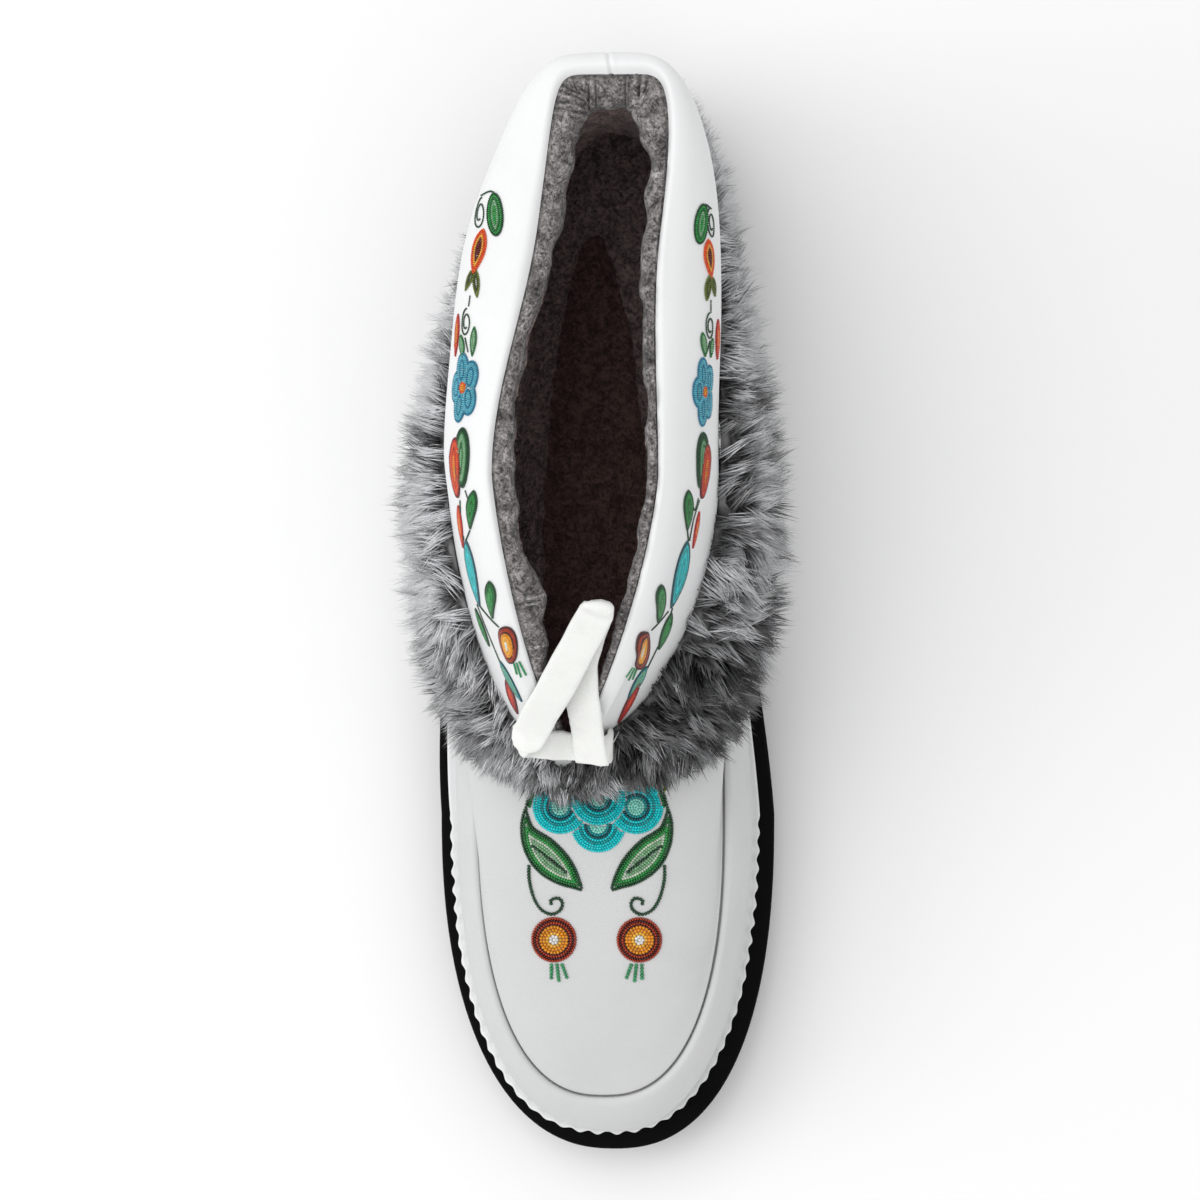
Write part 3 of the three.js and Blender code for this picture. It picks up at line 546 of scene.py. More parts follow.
# Lace: one flat thong, out of the fur at the right of the notch, across to the left, folded there, up over
# the opening as a loop, folded again and down to its cut end. Each point is an offset from the notch's
# bottom, the direction across the thong in degrees from +X seen from above, and how far that tilts up.
lace = {"width": 9.0, "thickness": 1.6, "samples": 168, "fray": 0.35, "foldBend": 0.3, "foldBow": 2.0, "foldDraw": 0.3}
laceRoute = np.array([
    (10.0, 2.4, -1.0, 88, 30), (10.0, 2.2, 4.2, 88, 34), (9.0, 2.0, 8.4, 88, 38), (6.4, 1.9, 9.9, 88, 38),
    (0.6, 2.2, 8.4, 90, 38), (-4.9, 2.7, 10.4, 92, 38), (-8.6, 2.6, 10.4, 100, 34), (-10.5, 3.0, 11.8, 112, 22),
    (-11.0, 3.5, 13.4, 120, 12), (-10.1, 4.5, 15.0, 131, 6), (-8.7, 6.3, 17.6, 142, 10),
    (-6.3, 10.5, 24.0, 149, 14), (-2.8, 15.7, 31.2, 150, 14), (1.9, 23.9, 39.0, 150, 14),
    (6.7, 32.3, 46.4, 150, 10), (8.7, 35.7, 50.0, 158, 4), (9.3, 36.9, 51.4, 172, 0), (9.1, 36.5, 49.0, 180, 0),
    (7.5, 33.3, 44.8, 176, -4), (5.5, 28.7, 39.6, 174, -8), (4.1, 23.5, 34.2, 176, -14),
    (4.0, 17.9, 29.4, 178, -19), (4.5, 12.3, 24.6, 180, -25), (5.1, 6.3, 18.2, 180, -29),
    (5.6, 1.9, 14.8, 178, -29), (6.1, -1.7, 11.6, 175, -27),
], float)


def cappedTube(rings):
    # A tube through rings of points, with a middle point for each end
    rings = np.asarray(rings, float)
    rows, columns = rings.shape[:2]
    points = np.concatenate([rings.reshape(-1, 3), rings[0].mean(0)[None], rings[-1].mean(0)[None]])
    i = np.arange(columns)
    j = (i + 1) % columns
    start, end = rows * columns, rows * columns + 1
    foot = np.stack([np.full(columns, start), j, i], -1)
    head = np.stack([np.full(columns, end), (rows - 1) * columns + i, (rows - 1) * columns + j], -1)
    return points, [ringFaces(rows, columns), np.concatenate([foot, head])]


def makeLace():
    # Route: a smooth curve through the points. Section: a rounded bar |w|^n + |h|^n = 1, worn at its edges.
    notch = skin(-quarterTurn, rimLevel + 0.5, -last["layerGap"])
    t = np.linspace(0, len(laceRoute) - 1, lace["samples"])
    route = np.stack([through(laceRoute[:, k], t) for k in range(5)], -1)
    centre = notch + route[:, :3]
    across, tilt = np.radians(route[:, 3]), np.radians(route[:, 4])
    run = unit(np.gradient(centre, axis=0))
    side = np.stack([np.cos(tilt) * np.cos(across), np.cos(tilt) * np.sin(across), np.sin(tilt)], -1)
    side = unit(side - (side * run).sum(-1, keepdims=True) * run)
    rise = np.cross(run, side)
    around = 2 * np.pi * np.arange(24) / 24
    w, h = (np.sign(f(around)) * abs(f(around)) ** power for f, power in ((np.cos, 0.35), (np.sin, 0.6)))
    worn = 1 + 0.03 * ripple(centre, 9, 3)
    # Where it folds, its corners are drawn in and the middle of its width stands furthest out
    bend = np.gradient(run, axis=0) / np.linalg.norm(np.gradient(centre, axis=0), axis=-1, keepdims=True)
    sharp = np.minimum(np.linalg.norm(bend, axis=-1, keepdims=True) / lace["foldBend"], 1) ** 2
    sharp = np.stack([np.convolve(column, np.ones(9) / 9, "same") for column in (-unit(bend) * sharp).T], -1)
    drawn = worn - lace["foldDraw"] * np.linalg.norm(sharp, axis=-1)
    points = (centre[:, None] + (w[:, None] * lace["width"] / 2) * side[:, None] * drawn[:, None, None]
              + (h[:, None] * lace["thickness"] / 2) * rise[:, None])
    points = points + lace["foldBow"] * sharp[:, None] * (1 - (w * w)[None, :, None])
    points = points + 0.08 * ripple(points, 2.2, 5)[..., None] * rise[:, None]
    ragged = lace["fray"] * ripple(points, 1.3, 9)
    points[0] += ragged[0, :, None] * run[0]
    points[-1] += (ragged[-1, :, None] + 0.8 * w[:, None]) * run[-1]
    length = np.concatenate([[0], np.cumsum(np.linalg.norm(np.diff(centre, axis=0), axis=-1))])
    flow = np.stack(np.broadcast_arrays(w * lace["width"] / 2 * mm, length[:, None] * mm), -1).reshape(-1, 2)
    flow = np.concatenate([flow, [[0, 0], [0, length[-1] * mm]]])
    mesh, faces = cappedTube(points)
    piece = meshPiece("lace", mesh, faces, napLeather, ("lace_crossing", "lace_loop"), flow=flow)
    print("lace, millimetres long:", round(float(length[-1]), 1))


makeLace()

# Outsole
outsole = {"columns": 288, "lugSunk": 1.5}  # how far a bar runs up into the sole


def soleOutline(angle, inset):
    ball, heel = sole["ballWidth"] / 2 - inset, sole["heelWidth"] / 2 - inset
    form = {
        "toe": atLength(1) + inset, "wide": atLength(0.682), "heel": atLength(0) - inset, "half": ball,
        "heelShare": heel / ball, "nToe": 2.35, "nHeel": 8.0, "nEnd": 2.4,
        "xToe": 0.02 * sole["ballWidth"], "xWide": 0.0, "xHeel": 0.055 * sole["ballWidth"], "sway": waistSway,
    }
    x, y, _, _ = planPoint(angle, form)
    return x, y


def makeOutsole():
    # Side: insets at shares of the height from underside to top, with a groove; then the rounded upper edge
    groove = sole["grooveDepth"]
    side = [(0, 2.2), (0.02, 1.4), (0.06, 0.8), (0.12, 0.55), (0.2, 0.5), (0.3, 0.5), (0.4, 0.5), (0.43, 0.7),
            (0.46, 1.2), (0.49, 1.5), (0.53, 1.55), (0.57, 1.5), (0.6, 1.1), (0.62, 0.4), (0.645, 0.05), (0.7, 0)]
    angle = turn(outsole["columns"])
    rings = []
    for share, inset in side:
        x, y = soleOutline(angle, inset * groove)
        rings.append(np.stack([x, y, mix(treadHeight(y) + sole["lugDepth"], soleTop(y), share)], -1))
    for bend in np.linspace(0, quarterTurn, 6):
        x, y = soleOutline(angle, sole["topRound"] * (1 - np.cos(bend)))
        rings.append(np.stack([x, y, soleTop(y) - sole["topRound"] * (1 - np.sin(bend))], -1))
    count = outsole["columns"]
    points = np.array(rings)
    faces = [ringFaces(len(rings), count), *lidFaces(count, 0, False), *lidFaces(count, (len(rings) - 1) * count, True)]
    sets, verts = [faces[0], faces[1], faces[3], faces[2], faces[4]], [points.reshape(-1, 3)]
    used = len(verts[0])
    for mesh, barFaces in makeLugs():
        verts.append(mesh)
        sets += [f + used for f in barFaces]
        used += len(mesh)
    meshPiece("rubber_outsole", np.concatenate(verts), sets, blackRubber, ("outsole",))


def makeLugs():
    # Each bar: a rounded section carried from the left to the right edge of the lug field
    angle = np.linspace(-quarterTurn, quarterTurn, 200)
    xRight, yRight = soleOutline(angle, sole["lugInset"])
    xLeft, yLeft = soleOutline(np.pi - angle, sole["lugInset"])
    pitch = sole["lugLength"] + sole["lugGap"]
    heelBars = int(0.11 * sole["length"] // pitch)
    foreBars = max(4, int(0.44 * sole["length"] // pitch))
    bars = [(i * pitch, 0.0) for i in range(-heelBars, heelBars + 1)]
    bars += [(atLength(0.545) - i * pitch, -0.12 if i % 2 == 0 else 0.12) for i in range(foreBars)]
    around = 2 * np.pi * (np.arange(24) + 0.5) / 24
    v = np.sign(np.cos(around)) * abs(np.cos(around)) ** 0.3 * sole["lugLength"] / 2
    h = np.sign(np.sin(around)) * abs(np.sin(around)) ** 0.3
    made = []
    for y0, slant in bars:
        steps = np.array([-1, -0.99, -0.97, -0.9, -0.6, -0.3, 0, 0.3, 0.6, 0.9, 0.97, 0.99, 1])
        narrow = np.clip(1 - (abs(steps) - 0.96) * 4, 0.85, 1)[:, None]
        y = y0 + v * narrow
        low, high = np.interp(y, yLeft, xLeft), np.interp(y, yRight, xRight)
        x = mix(low, high, (steps[:, None] + 1) / 2)
        y = y + np.tan(slant) * x
        deep = sole["lugDepth"] + outsole["lugSunk"]
        z = treadHeight(y0) + deep / 2 * (1 + h)
        made.append(cappedTube(np.stack(np.broadcast_arrays(x, y, z), -1)))
    return made


makeOutsole()

# Crimped margin: the upper's turned-out edge, lying on the sole
margin = {"width": 4.2, "lateral": 1.4, "thickness": 1.6, "crimpPitch": 4.85, "crimpDepth": 0.7, "crimpStart": 0.675,
          "columns": 1440, "ruffle": 0.28}


def marginOutline(angle, out):
    form = levelForm(np.zeros_like(angle), 0.0)
    form["toe"], form["heel"], form["half"] = (
        form["toe"] - 1.35 * out, form["heel"] + 0.5 * out, form["half"] + out)
    x, y, _, _ = planPoint(angle, form)
    x = x - margin["lateral"] * smooth(-1.6 * np.cos(angle)) * smooth((-60 - y) / 40)
    return np.stack([x, y, np.zeros_like(x)], -1)


crimpAngles = turn(margin["columns"])
crimpLine = marginOutline(crimpAngles, margin["width"])
crimpRun = np.concatenate([[0], np.cumsum(np.linalg.norm(np.diff(crimpLine, axis=0), axis=-1))])
crimpWindow = smooth((lengthShare(crimpLine[:, 1]) - margin["crimpStart"]) / 0.02)


def crimps(angle):
    # Phase of the crimps at an angle, counted along the margin, and how far they are made there
    run = np.interp(angle, crimpAngles, crimpRun)
    return 2 * np.pi * run / margin["crimpPitch"], np.interp(angle, crimpAngles, crimpWindow)


def makeMargin():
    # Section from the inside of the underside round the rolled outer edge to the inside of the top;
    # the outer line steps in by depth * (1 + cos(phase)) / 2
    angle = crimpAngles
    inside, insideTop = skin(angle, 0.0, -last["layerGap"]), skin(angle, 0.3, -last["layerGap"])
    inward = unit((inside - crimpLine) * (1, 1, 0))
    phase, made = crimps(angle)
    uneven = 1 + 0.18 * ripple(crimpLine, 23, 7)
    step = margin["crimpDepth"] * uneven * made * (0.5 + 0.5 * np.cos(phase))
    outer = crimpLine + inward * step[:, None]
    ruffle = margin["ruffle"] * made * np.cos(phase)
    section = [(0, 0), (0.5, 0), (0.9, 0), (0.97, 0.12), (1, 0.4), (1.005, 0.75), (0.99, 1.05), (0.955, 1.3),
               (0.9, 1.42), (0.82, 1.36), (0.7, 1.2), (0.5, 1.12), (0.3, 1.25), (0.12, 1.45), (0, 1.6)]
    rings = []
    for out, height in section:
        line = mix(np.where(height > 0.8, insideTop, inside), outer, out)
        z = soleTop(line[:, 1]) + last["gap"] + height * margin["thickness"] / 1.6 + ruffle * out**2 * (height > 0)
        rings.append(np.stack([line[:, 0], line[:, 1], z], -1))
    # The margin takes the brighter shaft leather: a painted highlight along its rim
    meshPiece("crimped_edge", rings, [ringFaces(len(rings), len(angle), True)], shaftLeather,
              ("crimped_margin",))


makeMargin()

# Upper: wall, soft roll and the bed that the apron lies on
upper = {"columns": 384, "rows": 62, "pucker": 0.22, "waviness": 0.28}


def makeUpper():
    angle = turn(upper["columns"])
    phase, made = crimps(angle)
    rings = []
    for t in np.concatenate([np.linspace(0, 7, upper["rows"] - 10), np.linspace(7.3, ankleLevel - 0.03, 10)]):
        bare = skin(angle, t)
        fade = np.exp(-((t / 1.1) ** 2))
        puff = upper["waviness"] * ripple(bare, 34, 11) * smooth(t) * smooth((6 - t) / 1.5)
        puff = puff + upper["pucker"] * fade * made * np.cos(phase)
        puff = puff - 0.5 * np.exp(-(((t - 5.9) / 0.35) ** 2))
        rings.append(skin(angle, t, -puff))
    rings += [skin(angle, t, last["leather"]) for t in (ankleLevel - 0.03, 9, 7, 4, 2, 0)]
    meshPiece("vamp_upper", rings, [ringFaces(len(rings), len(angle), True)], vampLeather, ("upper",))


makeUpper()

# Apron: the moccasin plug inside the roll, with a grey seam round it: partly its thread, partly painted shade in the
# groove
apron = {"thickness": 1.4, "halfTurn": 32 / 56 * np.pi, "columns": 261, "rows": 36, "edge": 6.22, "puff": 0.35}


def apronRows():
    near = np.array([0, 0.015, 0.04, 0.08, 0.14, 0.22, 0.32, 0.45])
    return apron["edge"] + np.concatenate([near, np.linspace(0.6, ankleLevel - 0.12 - apron["edge"],
                                                             apron["rows"] - len(near))])


def apronTop(angle, t):
    # Outer face: full thickness past a quarter-round edge, and a slow unevenness
    edge = clamp01((t - apron["edge"]) * 3.0 / 1.2)
    height = apron["thickness"] * np.sqrt(1 - (1 - edge) ** 2)
    puff = apron["puff"] * smooth((t - apron["edge"]) / 2) * (0.6 + 0.5 * ripple(skin(angle, t), 42, 13))
    return skin(angle, t, -last["layerGap"] - height - puff)


def makeApron():
    angle = -quarterTurn + apron["halfTurn"] * np.linspace(-1, 1, apron["columns"])
    rows = apronRows()[:, None]
    outer = apronTop(angle[None, :], rows)
    inner = skin(angle[None, :], rows, -last["layerGap"] + 0.02)
    meshPiece("apron_plug", np.concatenate([outer, inner]), plateFaces(len(rows), len(angle)), vampLeather,
              ("apron",))
    # Seam: a round grey tube in the step between roll and apron, partly the thread and partly painted shade in the
    # groove
    path = skin(angle, 6.08, -0.75)
    run = unit(np.gradient(path, axis=0))
    out = unit(skin(angle, 6.08, -1.75) - path)
    side = np.cross(run, out)
    around = 2 * np.pi * np.arange(8)[:, None] / 8
    radius = 0.25 + 0.04 * np.sin(np.arange(len(angle)) * 1.9)[:, None, None]
    rings = path[:, None] + radius * (np.cos(around) * out[:, None] + np.sin(around) * side[:, None])
    mesh, faces = cappedTube(rings)
    meshPiece("apron_seam", mesh, faces, seamThreadAndGrooveShade)


makeApron()

# Shaft: soft leather leaning in to the collar, with a seam up its back
shaft = {"columns": 360, "rows": 62, "seamDepth": 0.5, "waviness": 0.35}


def shaftFace(angle, t):
    # Outer face: slow waves, and at the back two edges that meet in a groove, raised on either side
    bare = skin(angle, t)
    slow = shaft["waviness"] * ripple(bare, 46, 17) * smooth((t - ankleLevel) / 2) * smooth((lipLevel - 0.3 - t) / 1.0)
    s = bare[..., 0] - skin(quarterTurn, t)[..., 0]
    groove = np.exp(-((s / 0.4) ** 2)) - 0.25 * np.exp(-(((abs(s) - 1.0) / 0.7) ** 2))
    groove = groove * (np.sin(angle) > 0.5) * shaft["seamDepth"]
    return skin(angle, t, groove - slow)


def makeShaft():
    angle = turn(shaft["columns"])
    legRows = 40
    outerRows = np.concatenate([np.linspace(ankleLevel - 0.02, 16, legRows),
                                np.linspace(16.1, lipLevel, shaft["rows"] - legRows)])
    outer = shaftFace(angle[None, :], outerRows[:, None])
    innerRows = np.array([lipLevel, 17.5, 17, 16, 15, 14, 13, 12, ankleLevel])
    inner = skin(angle[None, :], innerRows[:, None], last["leather"])
    rings = np.concatenate([outer, inner])
    meshPiece("soft_shaft", rings, [ringFaces(len(rings), len(angle), True)], shaftLeather, ("shaft",))


makeShaft()
print("leather pieces made")

# Fleece band: the lining's rolled edge inside the collar, gathered at the back corners
band = {
    "columns": 600,
    # its width in along y: the little toe's side, the big toe's side
    "lateralY": (-134, -125, -116, -107, -97, -88, -78, -67, -50, -33, -16, -2, 10, 20),
    "lateralWidth": (1.2, 1.8, 3.4, 6.6, 7.6, 4.4, 4.2, 5.8, 3.5, 3.0, 4.8, 5.8, 5.2, 8.6),
    "medialY": (-134, -120, -100, -78, -50, -33, -16, -2, 4, 10, 20),
    "medialWidth": (1.0, 1.8, 2.6, 2.9, 2.6, 3.1, 4.2, 3.6, 5.2, 4.6, 8.6),
}


def lipLine(angle):
    # The collar's lip, its inward direction in plan, and the clear width there
    lip = skin(angle, float(lipLevel))
    run = unit(np.roll(lip, -1, 0) - np.roll(lip, 1, 0))
    inward = unit(np.stack([-run[:, 1], run[:, 0], np.zeros(len(lip))], -1))
    across = abs(lip[:, 0] - skin(np.pi - angle, float(lipLevel))[:, 0])
    return lip, inward, across


def bandWidth(angle, lip, across):
    lateral = np.interp(lip[:, 1], band["lateralY"], band["lateralWidth"])
    medial = np.interp(lip[:, 1], band["medialY"], band["medialWidth"])
    width = np.where(np.cos(angle) < 0, lateral, medial)
    width = mix(width, 8.3, smooth((np.sin(angle) - 0.93) / 0.05))
    wavy = 1 + 0.1 * ripple(lip, 11, 21) + 0.05 * ripple(lip, 5, 22)
    width = np.convolve(np.tile(width, 3), np.ones(15) / 15, "same")[len(width):2 * len(width)] * wavy
    front = smooth((lip[:, 1] + 100) / -30)
    return np.minimum(width, mix(20.0, 0.36 * across, front) + 0.3)


def makeBand():
    # Section: over the lip, inwards by the width with a crowned top, down inside and back up behind;
    # the crown and the width wave along it, with sharp folds across it here and there
    angle = turn(band["columns"])
    lip, inward, across = lipLine(angle)
    width = bandWidth(angle, lip, across)
    random = np.random.default_rng(31)
    spots = random.uniform(0, 2 * np.pi, 26)
    away = (angle[:, None] - spots[None] + np.pi) % (2 * np.pi) - np.pi
    reach = np.linalg.norm(np.roll(lip, -1, 0) - lip, axis=-1).mean() / (2 * np.pi / band["columns"])
    fold = np.exp(-((away * reach / random.uniform(0.25, 0.45, 26)) ** 2)).sum(-1)
    dip = np.exp(-(((away * reach - 1.4) / 1.2) ** 2)).sum(-1)
    corner = np.exp(-(((abs(lip[:, 0] - 5.3) - 10.8) / 3.2) ** 2)) * smooth((lip[:, 1] - 11) / 4)
    gathers = corner * np.sin(lip[:, 0] * 3.1 + lip[:, 1] * 2.3)
    section = [(-0.9, -0.2, -1.6), (0.5, 0.02, 0.1), (0, 0.12, 0.55), (0, 0.24, 0.85), (0, 0.38, 1.0), (0, 0.52, 0.95),
               (0, 0.66, 0.7), (0, 0.78, 0.25), (0, 0.88, -0.5), (0, 0.95, -1.5), (0, 0.99, -2.7), (0, 1.0, -4.2),
               (0.1, 0.98, -6.0), (-0.2, 0.9, -8.0), (-0.8, 0.7, -9.6), (-1.2, 0.4, -10.4), (-1.2, 0, -9.0),
               (-1.2, 0, -5.0)]
    rings, tones = [], []
    for shift, share, height in section:
        top = np.exp(-((share - 0.6) ** 2) / 0.12) * (height > -7)
        crown = 0.9 * ripple(lip + (0, 0, 9 * share), 7, 33) + 0.5 * ripple(lip + (0, 0, 9 * share), 2.8, 34)
        rise = height + top * (0.55 * crown + 1.0 * fold - 0.9 * dip + 1.0 * gathers + 1.2 * corner)
        place = lip + inward * (shift + share * width + 0.2 * top * fold)[:, None]
        rings.append(place + rise[:, None] * (0, 0, 1))
        blotch = 0.5 + 0.3 * ripple(place, 5, 35) + 0.25 * ripple(place, 1.6, 36)
        # Tone: random blotches, plus a painted highlight on the folds' crests and the gathers' ridges, and painted
        # shade in the dips and the gathers' troughs
        tone = 0.2 + 0.2 * clamp01(blotch) + 0.6 * clamp01(top * fold * 1.3) ** 2 - 0.12 * clamp01(dip) + 0.16 * gathers
        # Painted shade: darker down the inside of the band, and where the band tucks against the collar's lip
        tone = tone * (1 - 0.45 * smooth((-height - 3) / 6)) * (1 - 0.5 * clamp01((0.1 - share) * 8))
        tones.append(np.clip(1.45 * tone, 0.04, 0.85)[:, None] * (1.06, 0.98, 0.96))
    rings, tones = np.array(rings), np.array(tones)
    fine = np.linspace(0, len(section) - 1, 44)
    rings = np.array([through(rings, np.float64(t)) for t in fine])
    tones = np.array([through(tones, np.float64(t)) for t in fine])
    rings = rings + 0.22 * ripple(rings, 1.5, 37)[..., None] * (0.4, 0.4, 1)
    meshPiece("fleece_band", rings, [ringFaces(len(rings), len(angle), True)], bandFleece,
              tones=np.clip(tones, 0.015, 0.85))
    return lip, inward, width


# Lining: dark fleece from the band down the walls and, with a deep padded corner, onto the footbed
lining = {"columns": 240, "pile": 4.8, "backing": 2.7}
footbed = {"thickness": 5.3, "wide": -88.0, "toe": -202.0, "heel": 0.5, "half": 14.5, "centre": -2.6}


def padLine(angle):
    # Edge of the walls' padding on the footbed: a long drop shape, pointed at the heel
    form = {"toe": footbed["toe"], "wide": footbed["wide"], "heel": footbed["heel"], "half": footbed["half"],
            "heelShare": 1.0, "nToe": 2.0, "nHeel": 1.75, "nEnd": 1.75, "xToe": footbed["centre"],
            "xWide": footbed["centre"], "xHeel": footbed["centre"], "sway": 0.0}
    x, y, _, _ = planPoint(angle, form)
    return np.stack([x, y, soleTop(y) + footbed["thickness"] + 0.5], -1)


def makeLining():
    angle = turn(lining["columns"])
    lip, inward, across = lipLine(angle)
    width = bandWidth(angle, lip, across)
    pile = lining["pile"]
    floor = padLine(angle)
    foot = skin(angle, 1.3, pile + 2)
    corner = mix(foot, floor, 0.35) * (1, 1, 0) + (floor[:, 2:] + 5.5) * (0, 0, 1)
    walls = [lip + inward * (width * 0.55)[:, None] + (0, 0, -7.0),
             lip + inward * (width * 0.8)[:, None] + (0, 0, -12.0),
             skin(angle, 14.2, pile + 3.5), skin(angle, 13.0, pile + 3), skin(angle, 11.5, pile + 2),
             skin(angle, 10.7, pile + 1.6), skin(angle, 9.8, pile + 1.3), skin(angle, 8.5, pile + 1),
             skin(angle, 7.0, pile + 0.6), skin(angle, 3.0, pile), foot, corner, floor,
             floor * (1, 1, 0) + (0, 0, 1) * (floor[:, 2:] - 2.5)]
    walls = np.array(walls)
    visible = np.array([through(walls, np.float64(t)) for t in np.linspace(0, len(walls) - 1, 64)])
    tufts = 0.75 * ripple(visible, 5.5, 41) + 0.4 * ripple(visible, 2.3, 42)
    outward = unit(visible - visible.mean(1, keepdims=True)) * (1, 1, 0)
    visible = visible - outward * tufts[..., None] * 0.8
    backLevels = np.array([0.3, 1, 2, 3, 4, 6, 6.5, 7, 8, 9, 10, 10.5, 11, 12, 13, 14, 15, 16.6])  # none in the roll
    back = skin(angle[None, :], backLevels[:, None], lining["backing"])
    rings = np.concatenate([back, visible])
    meshPiece("fleece_lining", rings, [ringFaces(len(rings), len(angle), True)], darkFleece)


def makeFootbed():
    # A slab inside the feather edge whose top, spanned from side to side, is tufted
    angle = turn(240)
    edge = skin(angle, 0.0, last["leather"] + last["gap"])
    low = edge * (1, 1, 0) + (0, 0, 1) * (soleTop(edge[:, 1]) + last["gap"])[:, None]
    high = low + (0, 0, footbed["thickness"] - last["gap"])
    count = len(angle)
    across = np.arange(0, count // 2 + 1)
    share = np.linspace(0, 1, 41)[:, None, None]
    top = mix(high[across], high[(count - across) % count], share)
    fromEnds = smooth(np.minimum(across, count // 2 - across) / 6)
    inner = smooth(np.minimum(share, 1 - share) * 14) * fromEnds[None, :, None]
    top = top + (0, 0, 1) * inner * (0.3 * ripple(top, 6, 43) + 0.2 * ripple(top, 2.4, 44))[..., None]
    bottom = mix(low[across], low[(count - across) % count], share)
    meshPiece("fleece_footbed", np.concatenate([top, bottom]), plateFaces(41, len(across)), footbedFleece,
              ("insole",))


makeBand()
makeLining()
makeFootbed()
print("fleece made")

# Fur cuff
fur = {"pile": 12.4, "droop": 7.0, "tufts": 3500, "hairsPerTuft": 15, "pieces": 3, "reach": 9.0, "thickness": 0.19,
       "tint": (0.99, 0.995, 1.01)}


def frontness(angle):
    return np.maximum(0, -np.sin(angle)) ** 6


def backness(angle):
    return smooth(np.sin(angle) / 0.75)


def furLevel(angle, share):
    low = ankleLevel - mix(0.5, 0.12, frontness(angle))
    high = ankleLevel + mix(1.95, 3.9, frontness(angle) ** 2) - 0.35 * backness(angle)
    return mix(low, high, share)


def hugDepth(angle, level):
    # How far the cuff's hide is off the skin: clear of the apron, which runs up under it in front
    over = smooth((-np.sin(angle) + 0.45) / 0.2) * (1 - smooth((level - ankleLevel) / 0.4))
    return -last["layerGap"] - 1.7 * over


def furFace(angle, share, height):
    # A point over the hide: outwards by pile * bulge * height, hanging by droop * bulge * height, where
    # bulge = sin(pi share)^0.6; also the outward direction there and the bulge
    level = furLevel(angle, share)
    hug = hugDepth(angle, level)
    root = skin(angle, level, hug)
    out = unit((skin(angle, level, hug - 1) - root) * (1, 1, 0))
    bulge = np.sin(np.pi * clamp01(share)) ** 0.6
    swell = 1.08 + 0.17 * np.cos(angle) + 0.5 * np.maximum(0, np.cos(angle + quarterTurn / 2)) ** 4
    pile = fur["pile"] * (swell - 0.68 * frontness(angle) - 0.6 * backness(angle))
    drop = fur["droop"] * bulge * (1 - frontness(angle)) * height
    return root + out * (pile * bulge * height)[..., None] - (0, 0, 1) * drop[..., None], out, bulge


def furShade(angle, share, place):
    # Grey with random patches; painted light and shade over that: lighter on the little toe's side, which faces the
    # lamps, with a painted highlight band along the middle of the cuff there, and painted shade darkest round the big
    # toe's side at the front by the lace
    lateral = smooth(0.5 - 0.9 * np.cos(angle))
    fore = smooth((-85 - place[..., 1]) / 35)
    patch = 0.5 * ripple(place, 21, 51) + 0.6 * ripple(place, 9.5, 52) + 0.5 * ripple(place, 4.5, 53)
    # Painted highlight along the middle of the cuff on the little toe's side
    ridge = np.exp(-(((share - 0.56) / 0.11) ** 2)) * lateral * (1 - fore)
    medial = mix(0.6, 0.15, fore) + 0.5 * smooth((place[..., 1] + 60) / 40)
    return mix(medial, mix(1.0, 0.55, fore), lateral) * np.exp(0.8 * patch + 0.35 * ridge - 0.04)


def makeFurBase():
    angle = turn(280)
    shares = np.linspace(0.02, 0.98, 26)[:, None]
    outer, out, bulge = furFace(angle[None, :], shares, np.full((1, 1), 0.42))
    clumps = (1.5 * ripple(outer, 6, 54) + 0.9 * ripple(outer, 3, 55)) * (1 - frontness(angle)) - 1.6 * frontness(angle)
    outer = outer + out * clumps[..., None] * bulge[..., None]
    inner, _, _ = furFace(angle[None, :], np.linspace(0.98, 0.02, 8)[:, None], np.full((1, 1), 0.02))
    rings = np.concatenate([outer, inner])
    tone = np.clip(0.12 + 0.1 * ripple(rings, 5, 56), 0.02, 0.3)[..., None] * np.ones(3)
    meshPiece("fur_hide", rings, [ringFaces(len(rings), len(angle), True)], mottledFur, ("fur_cuff",),
              tones=tone)


def hairMesh(roots, middles, tips, thickness):
    # Each hair: a triangle at its root, one at its middle and a tip, closed at the root
    run = unit(tips - roots)
    side = unit(np.cross(run, (0.31, 0.17, 0.93)))
    other = np.cross(run, side)
    turns = 2 * np.pi * np.arange(3) / 3
    around = np.cos(turns)[:, None] * side[:, None] + np.sin(turns)[:, None] * other[:, None]
    thick = np.asarray(thickness)[:, None, None]
    points = np.concatenate([roots[:, None] + around * thick, middles[:, None] + around * thick * 0.85,
                             tips[:, None]], 1)
    faces = np.array([(0, 2, 1), (0, 1, 4), (0, 4, 3), (1, 2, 5), (1, 5, 4), (2, 0, 3), (2, 3, 5), (3, 4, 6),
                      (4, 5, 6), (5, 3, 6)])
    return points, (faces[None] + 7 * np.arange(len(roots))[:, None, None]).reshape(-1, 3)


